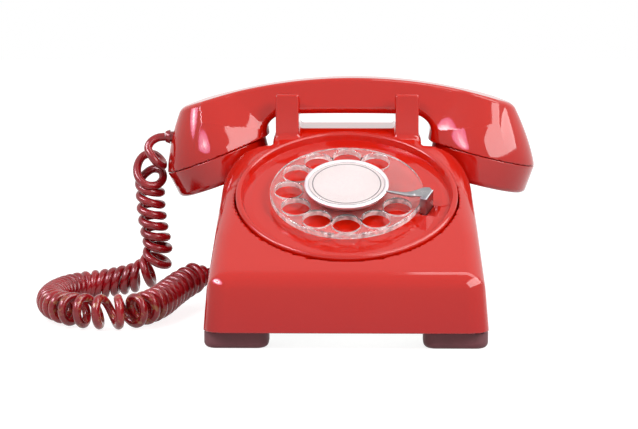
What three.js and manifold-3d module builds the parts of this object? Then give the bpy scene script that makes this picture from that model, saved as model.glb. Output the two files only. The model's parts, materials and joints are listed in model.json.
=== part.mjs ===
// Rotary desk telephone, in millimetres, +Z up.
// Origin: on the table, under the middle of the housing's footprint. +X is the
// right-hand side of somebody who dials, and -Y is the front.
//
// The housing and the handset are stacked from outlines by formula and then
// hollowed, the dial is turned work on one tilted axis, and the inner pieces
// are plain sheet-metal and moulded parts that seat on each other.

import * as THREE from 'three';
import { mergeVertices } from 'three/addons/utils/BufferGeometryUtils.js';
import Module from 'manifold-3d';

const wasm = await Module();
wasm.setup();

// ---------------------------------------------------------------- dimensions

const GAP = 0.3;               // clearance between pieces that seat on each other
const RUNNING_GAP = 0.5;       // clearance round pieces that move

// Housing
const FRONT_Y = -107;          // lower front edge
const REAR_Y = 107;            // lower rear edge
const SKIRT_Z = 9.1;           // lower edge of the skirt, above the table
const SKIRT_HALF_WIDTH = 73.9;
const SHOULDER_Z = 70;         // where the side walls start to round over
const SHOULDER_HALF_WIDTH = 68.9;
const NECK_HALF_WIDTH = 41;    // cradle neck, at the foot of the prongs
const NECK_Z = 99;
const PLATEAU_Z = 103.7;       // flat land between the prongs
const PLATEAU_REAR_Y = 66;
const FRONT_LEAN = 6.5;        // degrees that the front wall leans back
const WALL = 3;
const SIDE_CORNER_R = 12;      // plan radius of the four upright corners
const NECK_CORNER_R = 4;
const BROW_R = 10;             // rounding where the front wall meets the deck
const REAR_WALL_TOP = { y: 101, z: 50 };
const REAR_SLOPE_TOP = { y: 76, z: 78 };

// Handset cradle
const PRONG_TOP_Z = 123.5;
const PRONG_INNER_X = 27.2;
const PRONG_OUTER_X = 39.2;
const CRADLE_FRONT_Y = 12;
const CRADLE_REAR_Y = 62;
const PRONG_TOP_DEPTH = 7;     // front to back at the prong's top
const PRONG_FOOT_DEPTH = 9.4;  // and where the saddle starts
const SADDLE_Z = 111;
const SCOOP_FRONT_Y = 9.5;     // hollows beside the neck, for the handset's heads
const SCOOP_CORNER_Z = 78;
const SCOOP_OUTER_Z = 55.1;

// Dial
const DIAL_TILT = 28;          // degrees from the table
const DIAL_Y = -38.5;          // centre of the finger wheel's upper face
const DIAL_Z = 76;
const DECK_DROP = 3.2;         // deck plane below the finger wheel's upper face
const WHEEL_R = 41.5;
const WHEEL_THICKNESS = 3.7;
const HOLE_R = 7.5;
const HOLE_PITCH_R = 31.3;
const HOLE_COUNT = 10;
const HOLE_STEP = 30;          // degrees between neighbouring holes
const FIRST_HOLE_ANGLE = 60;   // degrees, anticlockwise from the right
const RING_R = 60.1;
const RING_LIP_Z = -1.2;
const RING_DISH_Z = -6.2;
const RING_DISH_R = 45;
const RING_BORE_R = 13;
const RING_THICKNESS = 1.8;
const RING_SKIRT_DEPTH = 7;
const SHAFT_R = 3;
const CARD_R = 19.6;
const BEZEL_R = 23;
const BEZEL_HEIGHT = 4.5;
const CARD_DEPTH = 1.5;        // card's lower face below the bezel's rim
const CARD_SHEET = 0.6;
const PLATE_R = 40;
const PLATE_TOP_Z = -11;
const PLATE_THICKNESS = 1.5;
const BRIDGE_TOP_Z = -33;
const BRIDGE_THICKNESS = 1.5;
const POST_R = 2.5;
const MAIN_GEAR_TEETH = 40;
const MAIN_MODULE = 0.96;
const PINION_TEETH = 10;
const SPEED_GEAR_TEETH = 24;
const SPEED_MODULE = 0.75;
const GOVERNOR_TEETH = 8;
const GEAR_THICKNESS = 2;
const MAIN_GEAR_Z = -20;       // lower face, below the finger wheel's upper face
const SPEED_GEAR_Z = -26;
const GOVERNOR_CUP_R = 8.5;
const SPRING_STRIP = 0.8;
const SPRING_TURNS = 3.25;
const SPRING_INNER_R = 5.2;
const SPRING_PITCH = 2.1;
const SPRING_HEIGHT = 4;

// Handset
const HANDSET_X = 1.4;         // the handset lies a little to the right
const HANDSET_Y = 36.9;
const HANDLE_TOP_Z = 131.9;
const HANDLE_TOP_R = 284;      // radius of the long arched back
const HANDLE_TOP_X = 2;        // crown of the arch, beside the handset's middle
const HANDLE_UNDER_R = 545;    // the handle's underside is slightly arched too
const HANDLE_TOP_HALF = 10.5;
const HANDLE_FOOT_HALF = 14;
const HEAD_R = 29.1;           // radius at the seam of each head
const HEAD_CROWN_R = 17;
const HANDSET_WALL = 3;
const WEB_R = 8;               // inner curve between the handle and each head
const HEAD_INNER_X = 48.4;     // where that curve has turned down into the head
const CAP_DEPTH = 16.2;
const CAP_FACE_R = 27.6;       // radius just above the cap's rounded lower edge
const CAP_WALL = 2.6;
const CAP_COLLAR = 3;          // height of the collar inside the head
const COLLAR_R = 23.2;
const TRANSMITTER = { side: -1, seamX: -77, seamZ: 87.9, tilt: 21, crownX: -79, crownZ: 115 };
const RECEIVER = { side: 1, seamX: 77.2, seamZ: 88.7, tilt: 13.8, crownX: 76, crownZ: 117 };
const UNIT_R = 21.5;           // transmitter and receiver capsules
const UNIT_DEPTH = 9;

// Base and inside
const PLATE_SHEET = 1.5;       // base plate thickness
const PLATE_Z = SKIRT_Z + 2.5; // the plate sits up inside the skirt
const FOOT_LENGTH = 33.7;
const FOOT_WIDTH = 22;
const FOOT_HEIGHT = SKIRT_Z - GAP;
const FOOT_X = 56.85;
const FOOT_FRONT_Y = -89.6;
const FOOT_REAR_Y = 89.6;
const FOOT_COLLAR_R = 8;       // reaches up to the plate, inside the skirt
const FOOT_STUD_R = 3.5;
const SCREW_R = 1.8;
const SCREW_HEAD_R = 4;
const BOSS_R = 5;
const BOSS_Y = 98.5;
const BOSS_TOP_Z = 30;
const PLUNGER_R = 3;
const CORD_D = 4.4;            // wire of the handset cord
const COIL_D = 16.6;           // outside of the curled stretch
const CORD_OUTLET = { y: 41, z: 19 };
const LINE_OUTLET = { x: -30, z: 18, r: 3.6 };
const ARC_STEPS = 4;           // facets in a rounding of the side profile

const BASE_TOP_Z = PLATE_Z + PLATE_SHEET;
const toRad = THREE.MathUtils.degToRad;

// ------------------------------------------------------------------- helpers

// Merged, position-only copy whose faces point outwards.
function outward(geometry) {
  const bare = geometry.clone();
  bare.deleteAttribute('normal');
  bare.deleteAttribute('uv');
  const merged = mergeVertices(bare, 1e-4);
  const position = merged.getAttribute('position');
  const index = Array.from(merged.index.array);
  const faces = [];
  let volume = 0;
  const a = new THREE.Vector3();
  const b = new THREE.Vector3();
  const c = new THREE.Vector3();
  for (let i = 0; i < index.length; i += 3) {
    const [p, q, r] = index.slice(i, i + 3);
    if (p === q || q === r || r === p) continue;
    a.fromBufferAttribute(position, p);
    b.fromBufferAttribute(position, q);
    c.fromBufferAttribute(position, r);
    volume += a.dot(b.cross(c)) / 6;
    faces.push(p, q, r);
  }
  if (volume < 0) {
    for (let i = 0; i < faces.length; i += 3) {
      [faces[i + 1], faces[i + 2]] = [faces[i + 2], faces[i + 1]];
    }
  }
  merged.setIndex(faces);
  return merged;
}

function solid(geometry) {
  const closed = outward(geometry);
  return new wasm.Manifold(new wasm.Mesh({
    numProp: 3,
    vertProperties: new Float32Array(closed.getAttribute('position').array),
    triVerts: new Uint32Array(closed.index.array),
  }));
}

function geometryOf(manifold) {
  const mesh = manifold.getMesh();
  const geometry = new THREE.BufferGeometry();
  geometry.setAttribute('position', new THREE.BufferAttribute(mesh.vertProperties, 3));
  geometry.setIndex(new THREE.BufferAttribute(mesh.triVerts, 1));
  return geometry;
}

function united(...geometries) {
  const [first, ...rest] = geometries.map(solid);
  return geometryOf(rest.reduce((sum, piece) => sum.add(piece), first));
}

function cut(geometry, ...tools) {
  return geometryOf(tools.map(solid).reduce((left, tool) => left.subtract(tool), solid(geometry)));
}

function common(one, other) {
  return geometryOf(solid(one).intersect(solid(other)));
}

// Closed body through rings of equally many points, its ends closed by fans.
function loft(rings) {
  const count = rings[0].length;
  const positions = rings.flat(2);
  const indices = [];
  for (let ring = 0; ring + 1 < rings.length; ring += 1) {
    for (let i = 0; i < count; i += 1) {
      const a = ring * count + i;
      const b = ring * count + ((i + 1) % count);
      indices.push(a, b, b + count, a, b + count, a + count);
    }
  }
  for (const [ring, flip] of [[0, true], [rings.length - 1, false]]) {
    const middle = positions.length / 3;
    const sum = rings[ring].reduce((s, p) => s.map((v, k) => v + p[k] / count), [0, 0, 0]);
    positions.push(...sum);
    for (let i = 0; i < count; i += 1) {
      const a = ring * count + i;
      const b = ring * count + ((i + 1) % count);
      indices.push(middle, ...(flip ? [b, a] : [a, b]));
    }
  }
  const geometry = new THREE.BufferGeometry();
  geometry.setAttribute('position', new THREE.Float32BufferAttribute(positions, 3));
  geometry.setIndex(indices);
  return outward(geometry);
}

function shapeOf(points, holes = []) {
  const shape = new THREE.Shape(points.map(([x, y]) => new THREE.Vector2(x, y)));
  shape.holes = holes;
  return shape;
}

function circlePath(x, y, r) {
  const path = new THREE.Path();
  path.absarc(x, y, r, 0, 2 * Math.PI, true);
  return path;
}

// Plate of the given thickness whose lower face lies at z.
function plate(shape, thickness, z = 0, curveSegments = 8) {
  const options = { depth: thickness, bevelEnabled: false, curveSegments };
  return new THREE.ExtrudeGeometry(shape, options).translate(0, 0, z);
}

function rod(r, z0, z1, x = 0, y = 0, sides = 16) {
  return new THREE.CylinderGeometry(r, r, z1 - z0, sides)
    .rotateX(Math.PI / 2)
    .translate(x, y, (z0 + z1) / 2);
}

function block(x0, x1, y0, y1, z0, z1) {
  return new THREE.BoxGeometry(x1 - x0, y1 - y0, z1 - z0)
    .translate((x0 + x1) / 2, (y0 + y1) / 2, (z0 + z1) / 2);
}

// Turned body about Z from [radius, z] pairs.
function turned(profile, sides = 32) {
  const points = profile.map(([r, z]) => new THREE.Vector2(r, z));
  return new THREE.LatheGeometry(points, sides).rotateX(Math.PI / 2);
}

function roundedRectangle(halfX, halfY, r, cx = 0, cy = 0) {
  const shape = new THREE.Shape();
  shape.absarc(cx + halfX - r, cy - halfY + r, r, -Math.PI / 2, 0);
  shape.absarc(cx + halfX - r, cy + halfY - r, r, 0, Math.PI / 2);
  shape.absarc(cx - halfX + r, cy + halfY - r, r, Math.PI / 2, Math.PI);
  shape.absarc(cx - halfX + r, cy - halfY + r, r, Math.PI, 1.5 * Math.PI);
  return shape;
}

// Polyline whose inner corners are replaced by arcs; radii[i] belongs to
// points[i]. A positive inset moves every edge to the left of its direction.
function filleted(points, radii, inset = 0, steps = ARC_STEPS) {
  const edges = points.slice(1).map((p, i) => {
    const from = new THREE.Vector2(...points[i]);
    const along = new THREE.Vector2(...p).sub(from).normalize();
    const left = new THREE.Vector2(-along.y, along.x);
    return { from: from.addScaledVector(left, inset), along, left };
  });
  const path = [edges[0].from.clone()];
  for (let i = 1; i < edges.length; i += 1) {
    const one = edges[i - 1];
    const two = edges[i];
    const turn = one.along.x * two.along.y - one.along.y * two.along.x;
    const reach = two.from.clone().sub(one.from);
    const t = (reach.x * two.along.y - reach.y * two.along.x) / turn;
    const corner = one.from.clone().addScaledVector(one.along, t);
    const side = Math.sign(turn);
    const r = Math.max(radii[i] - side * inset, 0.4);
    const half = Math.acos(THREE.MathUtils.clamp(one.along.dot(two.along), -1, 1)) / 2;
    const start = corner.clone().addScaledVector(one.along, -r * Math.tan(half));
    const centre = start.clone().addScaledVector(one.left, side * r);
    for (let k = 0; k <= steps; k += 1) {
      const spoke = start.clone().sub(centre);
      path.push(spoke.rotateAround(new THREE.Vector2(), side * 2 * half * k / steps).add(centre));
    }
  }
  const end = new THREE.Vector2(...points[points.length - 1]);
  path.push(end.addScaledVector(edges[edges.length - 1].left, inset));
  return path.map((p) => [p.x, p.y]);
}

// First coordinate of a path [[a, z], ...] at height z, where z rises along it.
function acrossAt(path, z) {
  let i = 1;
  while (i < path.length - 1 && path[i][1] < z) i += 1;
  const [a0, z0] = path[i - 1];
  const [a1, z1] = path[i];
  return a0 + (a1 - a0) * THREE.MathUtils.clamp((z - z0) / (z1 - z0), 0, 1);
}

// Spur gear with a tooth at the angle given by phase, in degrees.
function gear(teeth, module, thickness, z, bore, phase, backlash = 0.16) {
  const pitchR = teeth * module / 2;
  const points = [];
  for (let i = 0; i < teeth; i += 1) {
    const middle = 2 * Math.PI * i / teeth + toRad(phase);
    const share = Math.PI / teeth;
    const sections = [
      [pitchR - 1.2 * module, 0.62 - backlash / 2], [pitchR + 0.85 * module, 0.3 - backlash],
    ];
    for (const [r, half] of sections) points.push([r, middle - half * share]);
    for (const [r, half] of [...sections].reverse()) points.push([r, middle + half * share]);
  }
  const outline = points.map(([r, a]) => [r * Math.cos(a), r * Math.sin(a)]);
  const holes = bore > 0 ? [circlePath(0, 0, bore)] : [];
  return plate(shapeOf(outline, holes), thickness, z, 6);
}

// Round-ended tube through points, for cords and wires.
function tube(points, r, sides, steps) {
  const path = new THREE.CatmullRomCurve3(points.map((p) => new THREE.Vector3(...p)), false, 'centripetal');
  const section = new THREE.Shape();
  for (let i = 0; i < sides; i += 1) {
    const a = 2 * Math.PI * i / sides;
    if (i === 0) section.moveTo(r, 0);
    else section.lineTo(r * Math.cos(a), r * Math.sin(a));
  }
  section.closePath();
  return new THREE.ExtrudeGeometry(section, { steps, extrudePath: path, bevelEnabled: false });
}

function material(color, roughness, metalness = 0) {
  return new THREE.MeshStandardMaterial({ color, roughness, metalness });
}

const RED = material(0xe0241a, 0.22);
const CORD_RED = material(0x9c1220, 0.35);
const CLEAR = new THREE.MeshStandardMaterial({
  color: 0xf2eeee, roughness: 0.08, metalness: 0, transparent: true, opacity: 0.35,
});
const WHITE = material(0xf4f2ee, 0.6);
const RUBBER = material(0x2c1416, 0.8);
const STEEL = material(0xb4b8bc, 0.35, 1);
const CHROME = material(0xd8dadd, 0.12, 1);
const BRASS = material(0xc9a24a, 0.3, 1);
const BLACK = material(0x1c1c1e, 0.5);

const phone = new THREE.Group();
phone.name = 'rotary_telephone';

function add(parent, name, geometry, finish) {
  const mesh = new THREE.Mesh(outward(geometry), finish);
  mesh.name = name;
  parent.add(mesh);
  return mesh;
}

// ------------------------------------------------------------------- housing

const deckRise = Math.tan(toRad(DIAL_TILT));
const deckY = DIAL_Y + DECK_DROP * Math.sin(toRad(DIAL_TILT));
const deckZ = DIAL_Z - DECK_DROP * Math.cos(toRad(DIAL_TILT));

// The front wall and the deck, from the skirt to the plateau, as [y, z].
function frontPoints() {
  const lean = Math.tan(toRad(FRONT_LEAN));
  const browY = (deckY * deckRise - deckZ + SKIRT_Z - FRONT_Y / lean) / (deckRise - 1 / lean);
  const browZ = SKIRT_Z + (browY - FRONT_Y) / lean;
  const plateauY = deckY + (PLATEAU_Z - deckZ) / deckRise;
  return [[FRONT_Y, SKIRT_Z], [browY, browZ], [plateauY, PLATEAU_Z], [PLATEAU_REAR_Y, PLATEAU_Z]];
}

function frontPath(inset) {
  return filleted(frontPoints(), [0, BROW_R, 5, 0], -inset);
}

function rearPath(inset) {
  const points = [
    [REAR_Y, SKIRT_Z], [REAR_WALL_TOP.y, REAR_WALL_TOP.z], [REAR_SLOPE_TOP.y, REAR_SLOPE_TOP.z],
    [PLATEAU_REAR_Y, PLATEAU_Z], [0, PLATEAU_Z],
  ];
  return filleted(points, [0, 10, 16, 5, 0], inset);
}

// Half width: a slight draft below, then a shoulder that closes in to the neck.
function halfWidth(z) {
  if (z <= SHOULDER_Z) {
    const t = (z - SKIRT_Z) / (SHOULDER_Z - SKIRT_Z);
    return SKIRT_HALF_WIDTH + t * (SHOULDER_HALF_WIDTH - SKIRT_HALF_WIDTH);
  }
  if (z < NECK_Z) {
    const t = (z - SHOULDER_Z) / (NECK_Z - SHOULDER_Z);
    const bulge = (1 - t ** 1.8) ** (1 / 1.8);
    return NECK_HALF_WIDTH + (SHOULDER_HALF_WIDTH - NECK_HALF_WIDTH) * bulge;
  }
  const t = (z - NECK_Z) / (PLATEAU_Z - NECK_Z);
  return NECK_HALF_WIDTH + (PRONG_OUTER_X - NECK_HALF_WIDTH) * Math.min(t, 1);
}

function cornerRadius(z) {
  const t = THREE.MathUtils.clamp((z - SHOULDER_Z) / (NECK_Z - SHOULDER_Z), 0, 1);
  return SIDE_CORNER_R + (NECK_CORNER_R - SIDE_CORNER_R) * t * t;
}

// Closed outline in plan at height z, as [x, y, z] points.
function housingOutline(z, yFront, yRear, half, r, steps) {
  const outline = [];
  const corners = [[1, yFront, -90], [1, yRear, 0], [-1, yRear, 90], [-1, yFront, 180]];
  for (const [side, edge, start] of corners) {
    const cx = side * (half - r);
    const cy = edge === yFront ? yFront + r : yRear - r;
    for (let k = 0; k <= steps; k += 1) {
      const a = toRad(start + 90 * k / steps);
      outline.push([cx + r * Math.cos(a), cy + r * Math.sin(a), z]);
    }
  }
  return outline;
}

function housingBody(inset, zLow, steps) {
  const front = frontPath(inset);
  const rear = rearPath(inset);
  const top = PLATEAU_Z - inset;
  const shoulder = [];
  for (let k = 0; k < 6; k += 1) shoulder.push(SHOULDER_Z + (NECK_Z - SHOULDER_Z) * (1 - (1 - k / 6) ** 2));
  const wanted = [...front, ...rear].map(([, z]) => z).concat(shoulder, NECK_Z);
  const levels = [zLow];
  for (const z of wanted.filter((v) => v > zLow && v < top).sort((a, b) => a - b)) {
    if (z - levels[levels.length - 1] > 2.4 && top - z > 0.3) levels.push(z);
  }
  levels.push(top);
  return loft(levels.map((z) => {
    const r = Math.max(cornerRadius(z) - inset, 1);
    return housingOutline(z, acrossAt(front, z), acrossAt(rear, z), halfWidth(z) - inset, r, steps);
  }));
}

// Hollow beside the neck that leaves room for a handset head.
function headScoop(side, clearance) {
  const innerX = NECK_HALF_WIDTH + RUNNING_GAP;
  const outerX = SKIRT_HALF_WIDTH + 12;
  const corners = [[innerX, PRONG_TOP_Z], [innerX, SCOOP_CORNER_Z], [outerX, SCOOP_OUTER_Z]];
  const profile = filleted(corners, [0, 6, 0], -clearance);
  profile.push([outerX + clearance, PRONG_TOP_Z]);
  const scoop = plate(shapeOf(profile), REAR_Y - SCOOP_FRONT_Y + 2 * clearance, 0);
  scoop.rotateX(Math.PI / 2).translate(0, REAR_Y + clearance, 0);
  return side > 0 ? scoop : outward(scoop.scale(-1, 1, 1));
}

// Grip under the rear of the cradle, for carrying the telephone.
function gripPocket(grow) {
  const shape = roundedRectangle(30 + grow, 10.5 + grow, 7 + grow, 0, 83.5);
  return plate(shape, 60, 0).rotateX(Math.PI / 2).translate(0, 45 - grow + 60, 0);
}

function dialPlace(geometry) {
  return geometry.rotateX(toRad(DIAL_TILT)).translate(0, DIAL_Y, DIAL_Z);
}

// One side of the cradle: two prongs with the saddle between them.
function cradleSide(side) {
  const middle = (CRADLE_FRONT_Y + CRADLE_REAR_Y) / 2;
  const half = (CRADLE_REAR_Y - CRADLE_FRONT_Y) / 2;
  const foot = PLATEAU_Z - 7;
  const outline = filleted([
    [-half, foot], [-half + 0.5, PRONG_TOP_Z], [-half + PRONG_TOP_DEPTH, PRONG_TOP_Z],
    [-half + PRONG_FOOT_DEPTH, SADDLE_Z], [half - PRONG_FOOT_DEPTH, SADDLE_Z],
    [half - PRONG_TOP_DEPTH, PRONG_TOP_Z], [half - 0.5, PRONG_TOP_Z], [half, foot],
  ], [0, 1.2, 1.2, 5, 5, 1.2, 1.2, 0], 0, 3);
  const width = PRONG_OUTER_X - PRONG_INNER_X;
  const wall = plate(shapeOf(outline), width);
  wall.rotateX(Math.PI / 2).rotateZ(Math.PI / 2).translate(0, middle, 0);
  return wall.translate(side > 0 ? PRONG_INNER_X : -PRONG_OUTER_X, 0, 0);
}

function plungerX(side) {
  return side * (PRONG_INNER_X + PRONG_OUTER_X) / 2;
}

function makeHousing() {
  const scoops = (clearance) => [1, -1].map((side) => headScoop(side, clearance));
  const outer = united(cut(housingBody(0, SKIRT_Z, 3), ...scoops(0)), cradleSide(1), cradleSide(-1));
  const cavity = cut(housingBody(WALL, SKIRT_Z - 1, 2), ...scoops(WALL), gripPocket(WALL));
  const bosses = [-1, 1].map((side) => rod(BOSS_R, BASE_TOP_Z + GAP, BOSS_TOP_Z, 0, side * BOSS_Y, 12));
  const bossHoles = [-1, 1].map((side) => rod(
    SCREW_R + GAP, BASE_TOP_Z, BOSS_TOP_Z - 6, 0, side * BOSS_Y, 8));
  const well = dialPlace(rod(RING_R + RUNNING_GAP, -RING_SKIRT_DEPTH - 6, 8, 0, 0, 36));
  const bores = [-1, 1].map((side) => rod(
    PLUNGER_R + RUNNING_GAP, PLATEAU_Z - 12, SADDLE_Z + 5, plungerX(side), HANDSET_Y, 12));
  const cordHole = rod(CORD_D / 2 + 2.6, 55, 85, 0, 0, 12)
    .rotateY(-Math.PI / 2).translate(0, CORD_OUTLET.y, CORD_OUTLET.z);
  const lineHole = rod(LINE_OUTLET.r, -REAR_Y - 10, -REAR_Y + 14, 0, 0, 12)
    .rotateX(Math.PI / 2).translate(LINE_OUTLET.x, 0, LINE_OUTLET.z);
  const shell = cut(outer, cavity);
  return cut(united(shell, ...bosses), gripPocket(0), well, ...bores, ...bossHoles, cordHole, lineHole);
}


add(phone, 'housing', makeHousing(), RED);

// ------------------------------------------------------------- base and feet

function footPlaces() {
  return [
    ['foot_front_left', -FOOT_X, FOOT_FRONT_Y], ['foot_front_right', FOOT_X, FOOT_FRONT_Y],
    ['foot_rear_left', -FOOT_X, FOOT_REAR_Y], ['foot_rear_right', FOOT_X, FOOT_REAR_Y],
  ];
}

function makeBasePlate() {
  const rearDraft = (REAR_Y - REAR_WALL_TOP.y) / (REAR_WALL_TOP.z - SKIRT_Z);
  const margin = WALL + RUNNING_GAP + rearDraft * (BASE_TOP_Z - SKIRT_Z);
  const sheet = roundedRectangle(
    SKIRT_HALF_WIDTH - margin, REAR_Y - margin, SIDE_CORNER_R - WALL);
  sheet.holes = footPlaces().map(([, x, y]) => circlePath(x, y, FOOT_STUD_R + GAP));
  sheet.holes.push(...[-1, 1].map((side) => circlePath(0, side * BOSS_Y, SCREW_R + GAP)));
  const slot = new THREE.Path();
  const [x0, x1, y0, y1] = [VOLUME_X - 12, VOLUME_X + 12, VOLUME_Y - 2.5, VOLUME_Y + 2.5];
  slot.moveTo(x0, y0).lineTo(x0, y1).lineTo(x1, y1).lineTo(x1, y0).closePath();
  sheet.holes.push(slot);
  return plate(sheet, PLATE_SHEET, PLATE_Z, 4);
}

// Moulded foot: a block under the skirt, a collar up to the plate and a stud
// that snaps through it.
function makeFoot(x, y) {
  const pad = roundedRectangle(FOOT_LENGTH / 2, FOOT_WIDTH / 2, 7, x, y);
  const slab = plate(pad, FOOT_HEIGHT, 0, 4);
  const stud = turned([
    [0, FOOT_HEIGHT - 1], [FOOT_COLLAR_R, FOOT_HEIGHT - 1], [FOOT_COLLAR_R, PLATE_Z - GAP],
    [FOOT_STUD_R, PLATE_Z - GAP], [FOOT_STUD_R, BASE_TOP_Z + 0.4],
    [FOOT_STUD_R + 0.8, BASE_TOP_Z + 1], [FOOT_STUD_R - 1, BASE_TOP_Z + 4], [0, BASE_TOP_Z + 4],
  ], 10).translate(x, y, 0);
  return united(slab, stud);
}

function makeBaseScrew(y) {
  const headTop = PLATE_Z - GAP;
  return turned([
    [0, headTop - 2.2], [SCREW_HEAD_R - 1, headTop - 2.2], [SCREW_HEAD_R, headTop - 1.2],
    [SCREW_HEAD_R, headTop], [SCREW_R, headTop], [SCREW_R, BOSS_TOP_Z - 7.5], [0, BOSS_TOP_Z - 6.6],
  ], 16).translate(0, y, 0);
}

// -------------------------------------------------------------------- ringer

const GONG_R = 20;
const GONG_X = 42;
const RINGER_CORE_Z = BASE_TOP_Z + 12.4;
const GONG_TOP_Z = BASE_TOP_Z + 35.4;
const GONG_Y = [24, 76];
const RINGER_Y = (GONG_Y[0] + GONG_Y[1]) / 2;
const CLAPPER_X = 20;
const CLAPPER_Z = BASE_TOP_Z + 25.4;
const VOLUME_X = 42;
const VOLUME_Y = 6;
const VOLUME_R = 10;
const VOLUME_Z = SKIRT_Z + 6.9;

function makeRingerFrame() {
  const sheet = roundedRectangle(22, 33, 3, 40, RINGER_Y);
  const floor = plate(sheet, 1.5, BASE_TOP_Z + GAP, 4);
  const upstand = block(57, 58.6, RINGER_Y - 10, RINGER_Y + 10, BASE_TOP_Z + 1, RINGER_CORE_Z + 10);
  const core = rod(2.6, 29, 58, 0, 0, 12).rotateY(Math.PI / 2).translate(0, RINGER_Y, RINGER_CORE_Z);
  const posts = GONG_Y.map((y) => rod(2.5, BASE_TOP_Z + 1, GONG_TOP_Z - 3, GONG_X, y, 12));
  return united(floor, upstand, core, ...posts);
}

function makeCoil() {
  return turned([
    [3, 0], [9, 0], [9, 1.4], [7.6, 1.4], [7.6, 23.6], [9, 23.6], [9, 25], [3, 25], [3, 0],
  ], 14).rotateY(Math.PI / 2).translate(30.5, RINGER_Y, RINGER_CORE_Z);
}

function makeGong(y) {
  const t = 1.3;
  const top = GONG_TOP_Z;
  return turned([
    [2.1, top], [12, top - 0.6], [18.4, top - 5], [GONG_R, top - 14], [GONG_R - t, top - 14],
    [18 - t, top - 5.6], [11.6, top - 0.6 - t], [2.1, top - t], [2.1, top],
  ], 16).translate(GONG_X, y, 0);
}

function makeGongScrew(y) {
  const seat = GONG_TOP_Z + GAP;
  return turned([
    [0, seat - 3], [1.8, seat - 3], [1.8, seat], [3.6, seat], [3.6, seat + 1.4], [2.8, seat + 2.2],
    [0, seat + 2.2],
  ], 12).translate(GONG_X, y, 0);
}

function makeClapper() {
  const pivot = rod(1.8, BASE_TOP_Z + 2.4, CLAPPER_Z + 3, CLAPPER_X, RINGER_Y, 10);
  const armature = block(CLAPPER_X - 1, CLAPPER_X + 5, RINGER_Y - 8, RINGER_Y + 8,
    RINGER_CORE_Z - 4, RINGER_CORE_Z + 4);
  const arm = rod(1.1, CLAPPER_X, GONG_X, 0, 0, 8).rotateY(Math.PI / 2)
    .translate(0, RINGER_Y, CLAPPER_Z);
  const ball = new THREE.SphereGeometry(3, 12, 8).translate(GONG_X, RINGER_Y, CLAPPER_Z);
  return united(pivot, armature, arm, ball);
}

// Knurled wheel that reaches out through the base plate to set the loudness.
function makeVolumeWheel() {
  const points = [];
  for (let i = 0; i < 48; i += 1) {
    const a = 2 * Math.PI * i / 48;
    const r = i % 2 ? VOLUME_R : VOLUME_R - 0.7;
    points.push([r * Math.cos(a), r * Math.sin(a)]);
  }
  const disc = plate(shapeOf(points), 3, -1.5).rotateX(Math.PI / 2);
  const hub = rod(2, -5, 5, 0, 0, 12).rotateX(Math.PI / 2);
  return united(disc, hub).translate(VOLUME_X, VOLUME_Y, VOLUME_Z);
}

function makeVolumeBracket() {
  const cheeks = [-1, 1].map((side) => block(
    VOLUME_X - 5, VOLUME_X + 5, VOLUME_Y + side * 4 - 0.7, VOLUME_Y + side * 4 + 0.7,
    BASE_TOP_Z + GAP, VOLUME_Z + 4));
  const bridge = block(VOLUME_X + 13, VOLUME_X + 15, VOLUME_Y - 4.7, VOLUME_Y + 4.7,
    BASE_TOP_Z + GAP, BASE_TOP_Z + 2);
  const rails = [-1, 1].map((side) => block(
    VOLUME_X - 5, VOLUME_X + 15, VOLUME_Y + side * 4 - 0.7, VOLUME_Y + side * 4 + 0.7,
    BASE_TOP_Z + GAP, BASE_TOP_Z + 2));
  const bore = rod(2 + GAP, VOLUME_Y - 9, VOLUME_Y + 9, 0, 0, 12).rotateX(-Math.PI / 2)
    .translate(VOLUME_X, 0, VOLUME_Z);
  return cut(united(...cheeks, bridge, ...rails), bore);
}

// ------------------------------------------------------------------- network

const NETWORK = { x0: -60, x1: -24, y0: 14, y1: 76, top: 34 };

function makeNetwork() {
  const shape = roundedRectangle(
    (NETWORK.x1 - NETWORK.x0) / 2, (NETWORK.y1 - NETWORK.y0) / 2, 3,
    (NETWORK.x0 + NETWORK.x1) / 2, (NETWORK.y0 + NETWORK.y1) / 2);
  const body = plate(shape, NETWORK.top - BASE_TOP_Z - GAP, BASE_TOP_Z + GAP, 3);
  const strips = [NETWORK.x0 + 3, NETWORK.x1 - 11].map((x) => block(
    x, x + 8, NETWORK.y0 + 4, NETWORK.y1 - 4, NETWORK.top - 1, NETWORK.top + 3));
  return cut(united(body, ...strips), ...terminalPlaces().map(([x, y]) => rod(
    1.6 + GAP, NETWORK.top - 4, NETWORK.top + 6, x, y, 8)));
}

function terminalPlaces() {
  const places = [];
  for (const x of [NETWORK.x0 + 7, NETWORK.x1 - 7]) {
    for (let i = 0; i < 2; i += 1) places.push([x, NETWORK.y0 + 17 + i * 28]);
  }
  return places;
}

function makeTerminalScrew(x, y) {
  const seat = NETWORK.top + 3 + GAP;
  return turned([
    [0, seat - 5], [1.6, seat - 5], [1.6, seat], [3, seat], [3, seat + 1.2], [2.4, seat + 1.8],
    [0, seat + 1.8],
  ], 10).translate(x, y, 0);
}

// --------------------------------------------------------------- line switch

const LEVER_PIVOT = { y: 22, z: 86 };
const PLUNGER_TOP_Z = SADDLE_Z - 0.2;
const PLUNGER_FOOT_Z = 91;
const SWITCH_HALF = 17;
const SWITCH_SPRING = { r: 3, wire: 0.9, pitch: 3.6, turns: 5, behind: 3.8, z: 64 };

function makePlunger(side) {
  return turned([
    [0, PLUNGER_FOOT_Z], [PLUNGER_R + 1.6, PLUNGER_FOOT_Z], [PLUNGER_R + 1.6, PLUNGER_FOOT_Z + 2],
    [PLUNGER_R, PLUNGER_FOOT_Z + 2], [PLUNGER_R, PLUNGER_TOP_Z - 0.8],
    [PLUNGER_R - 0.8, PLUNGER_TOP_Z], [0, PLUNGER_TOP_Z],
  ], 16).translate(plungerX(side), HANDSET_Y, 0);
}

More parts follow.
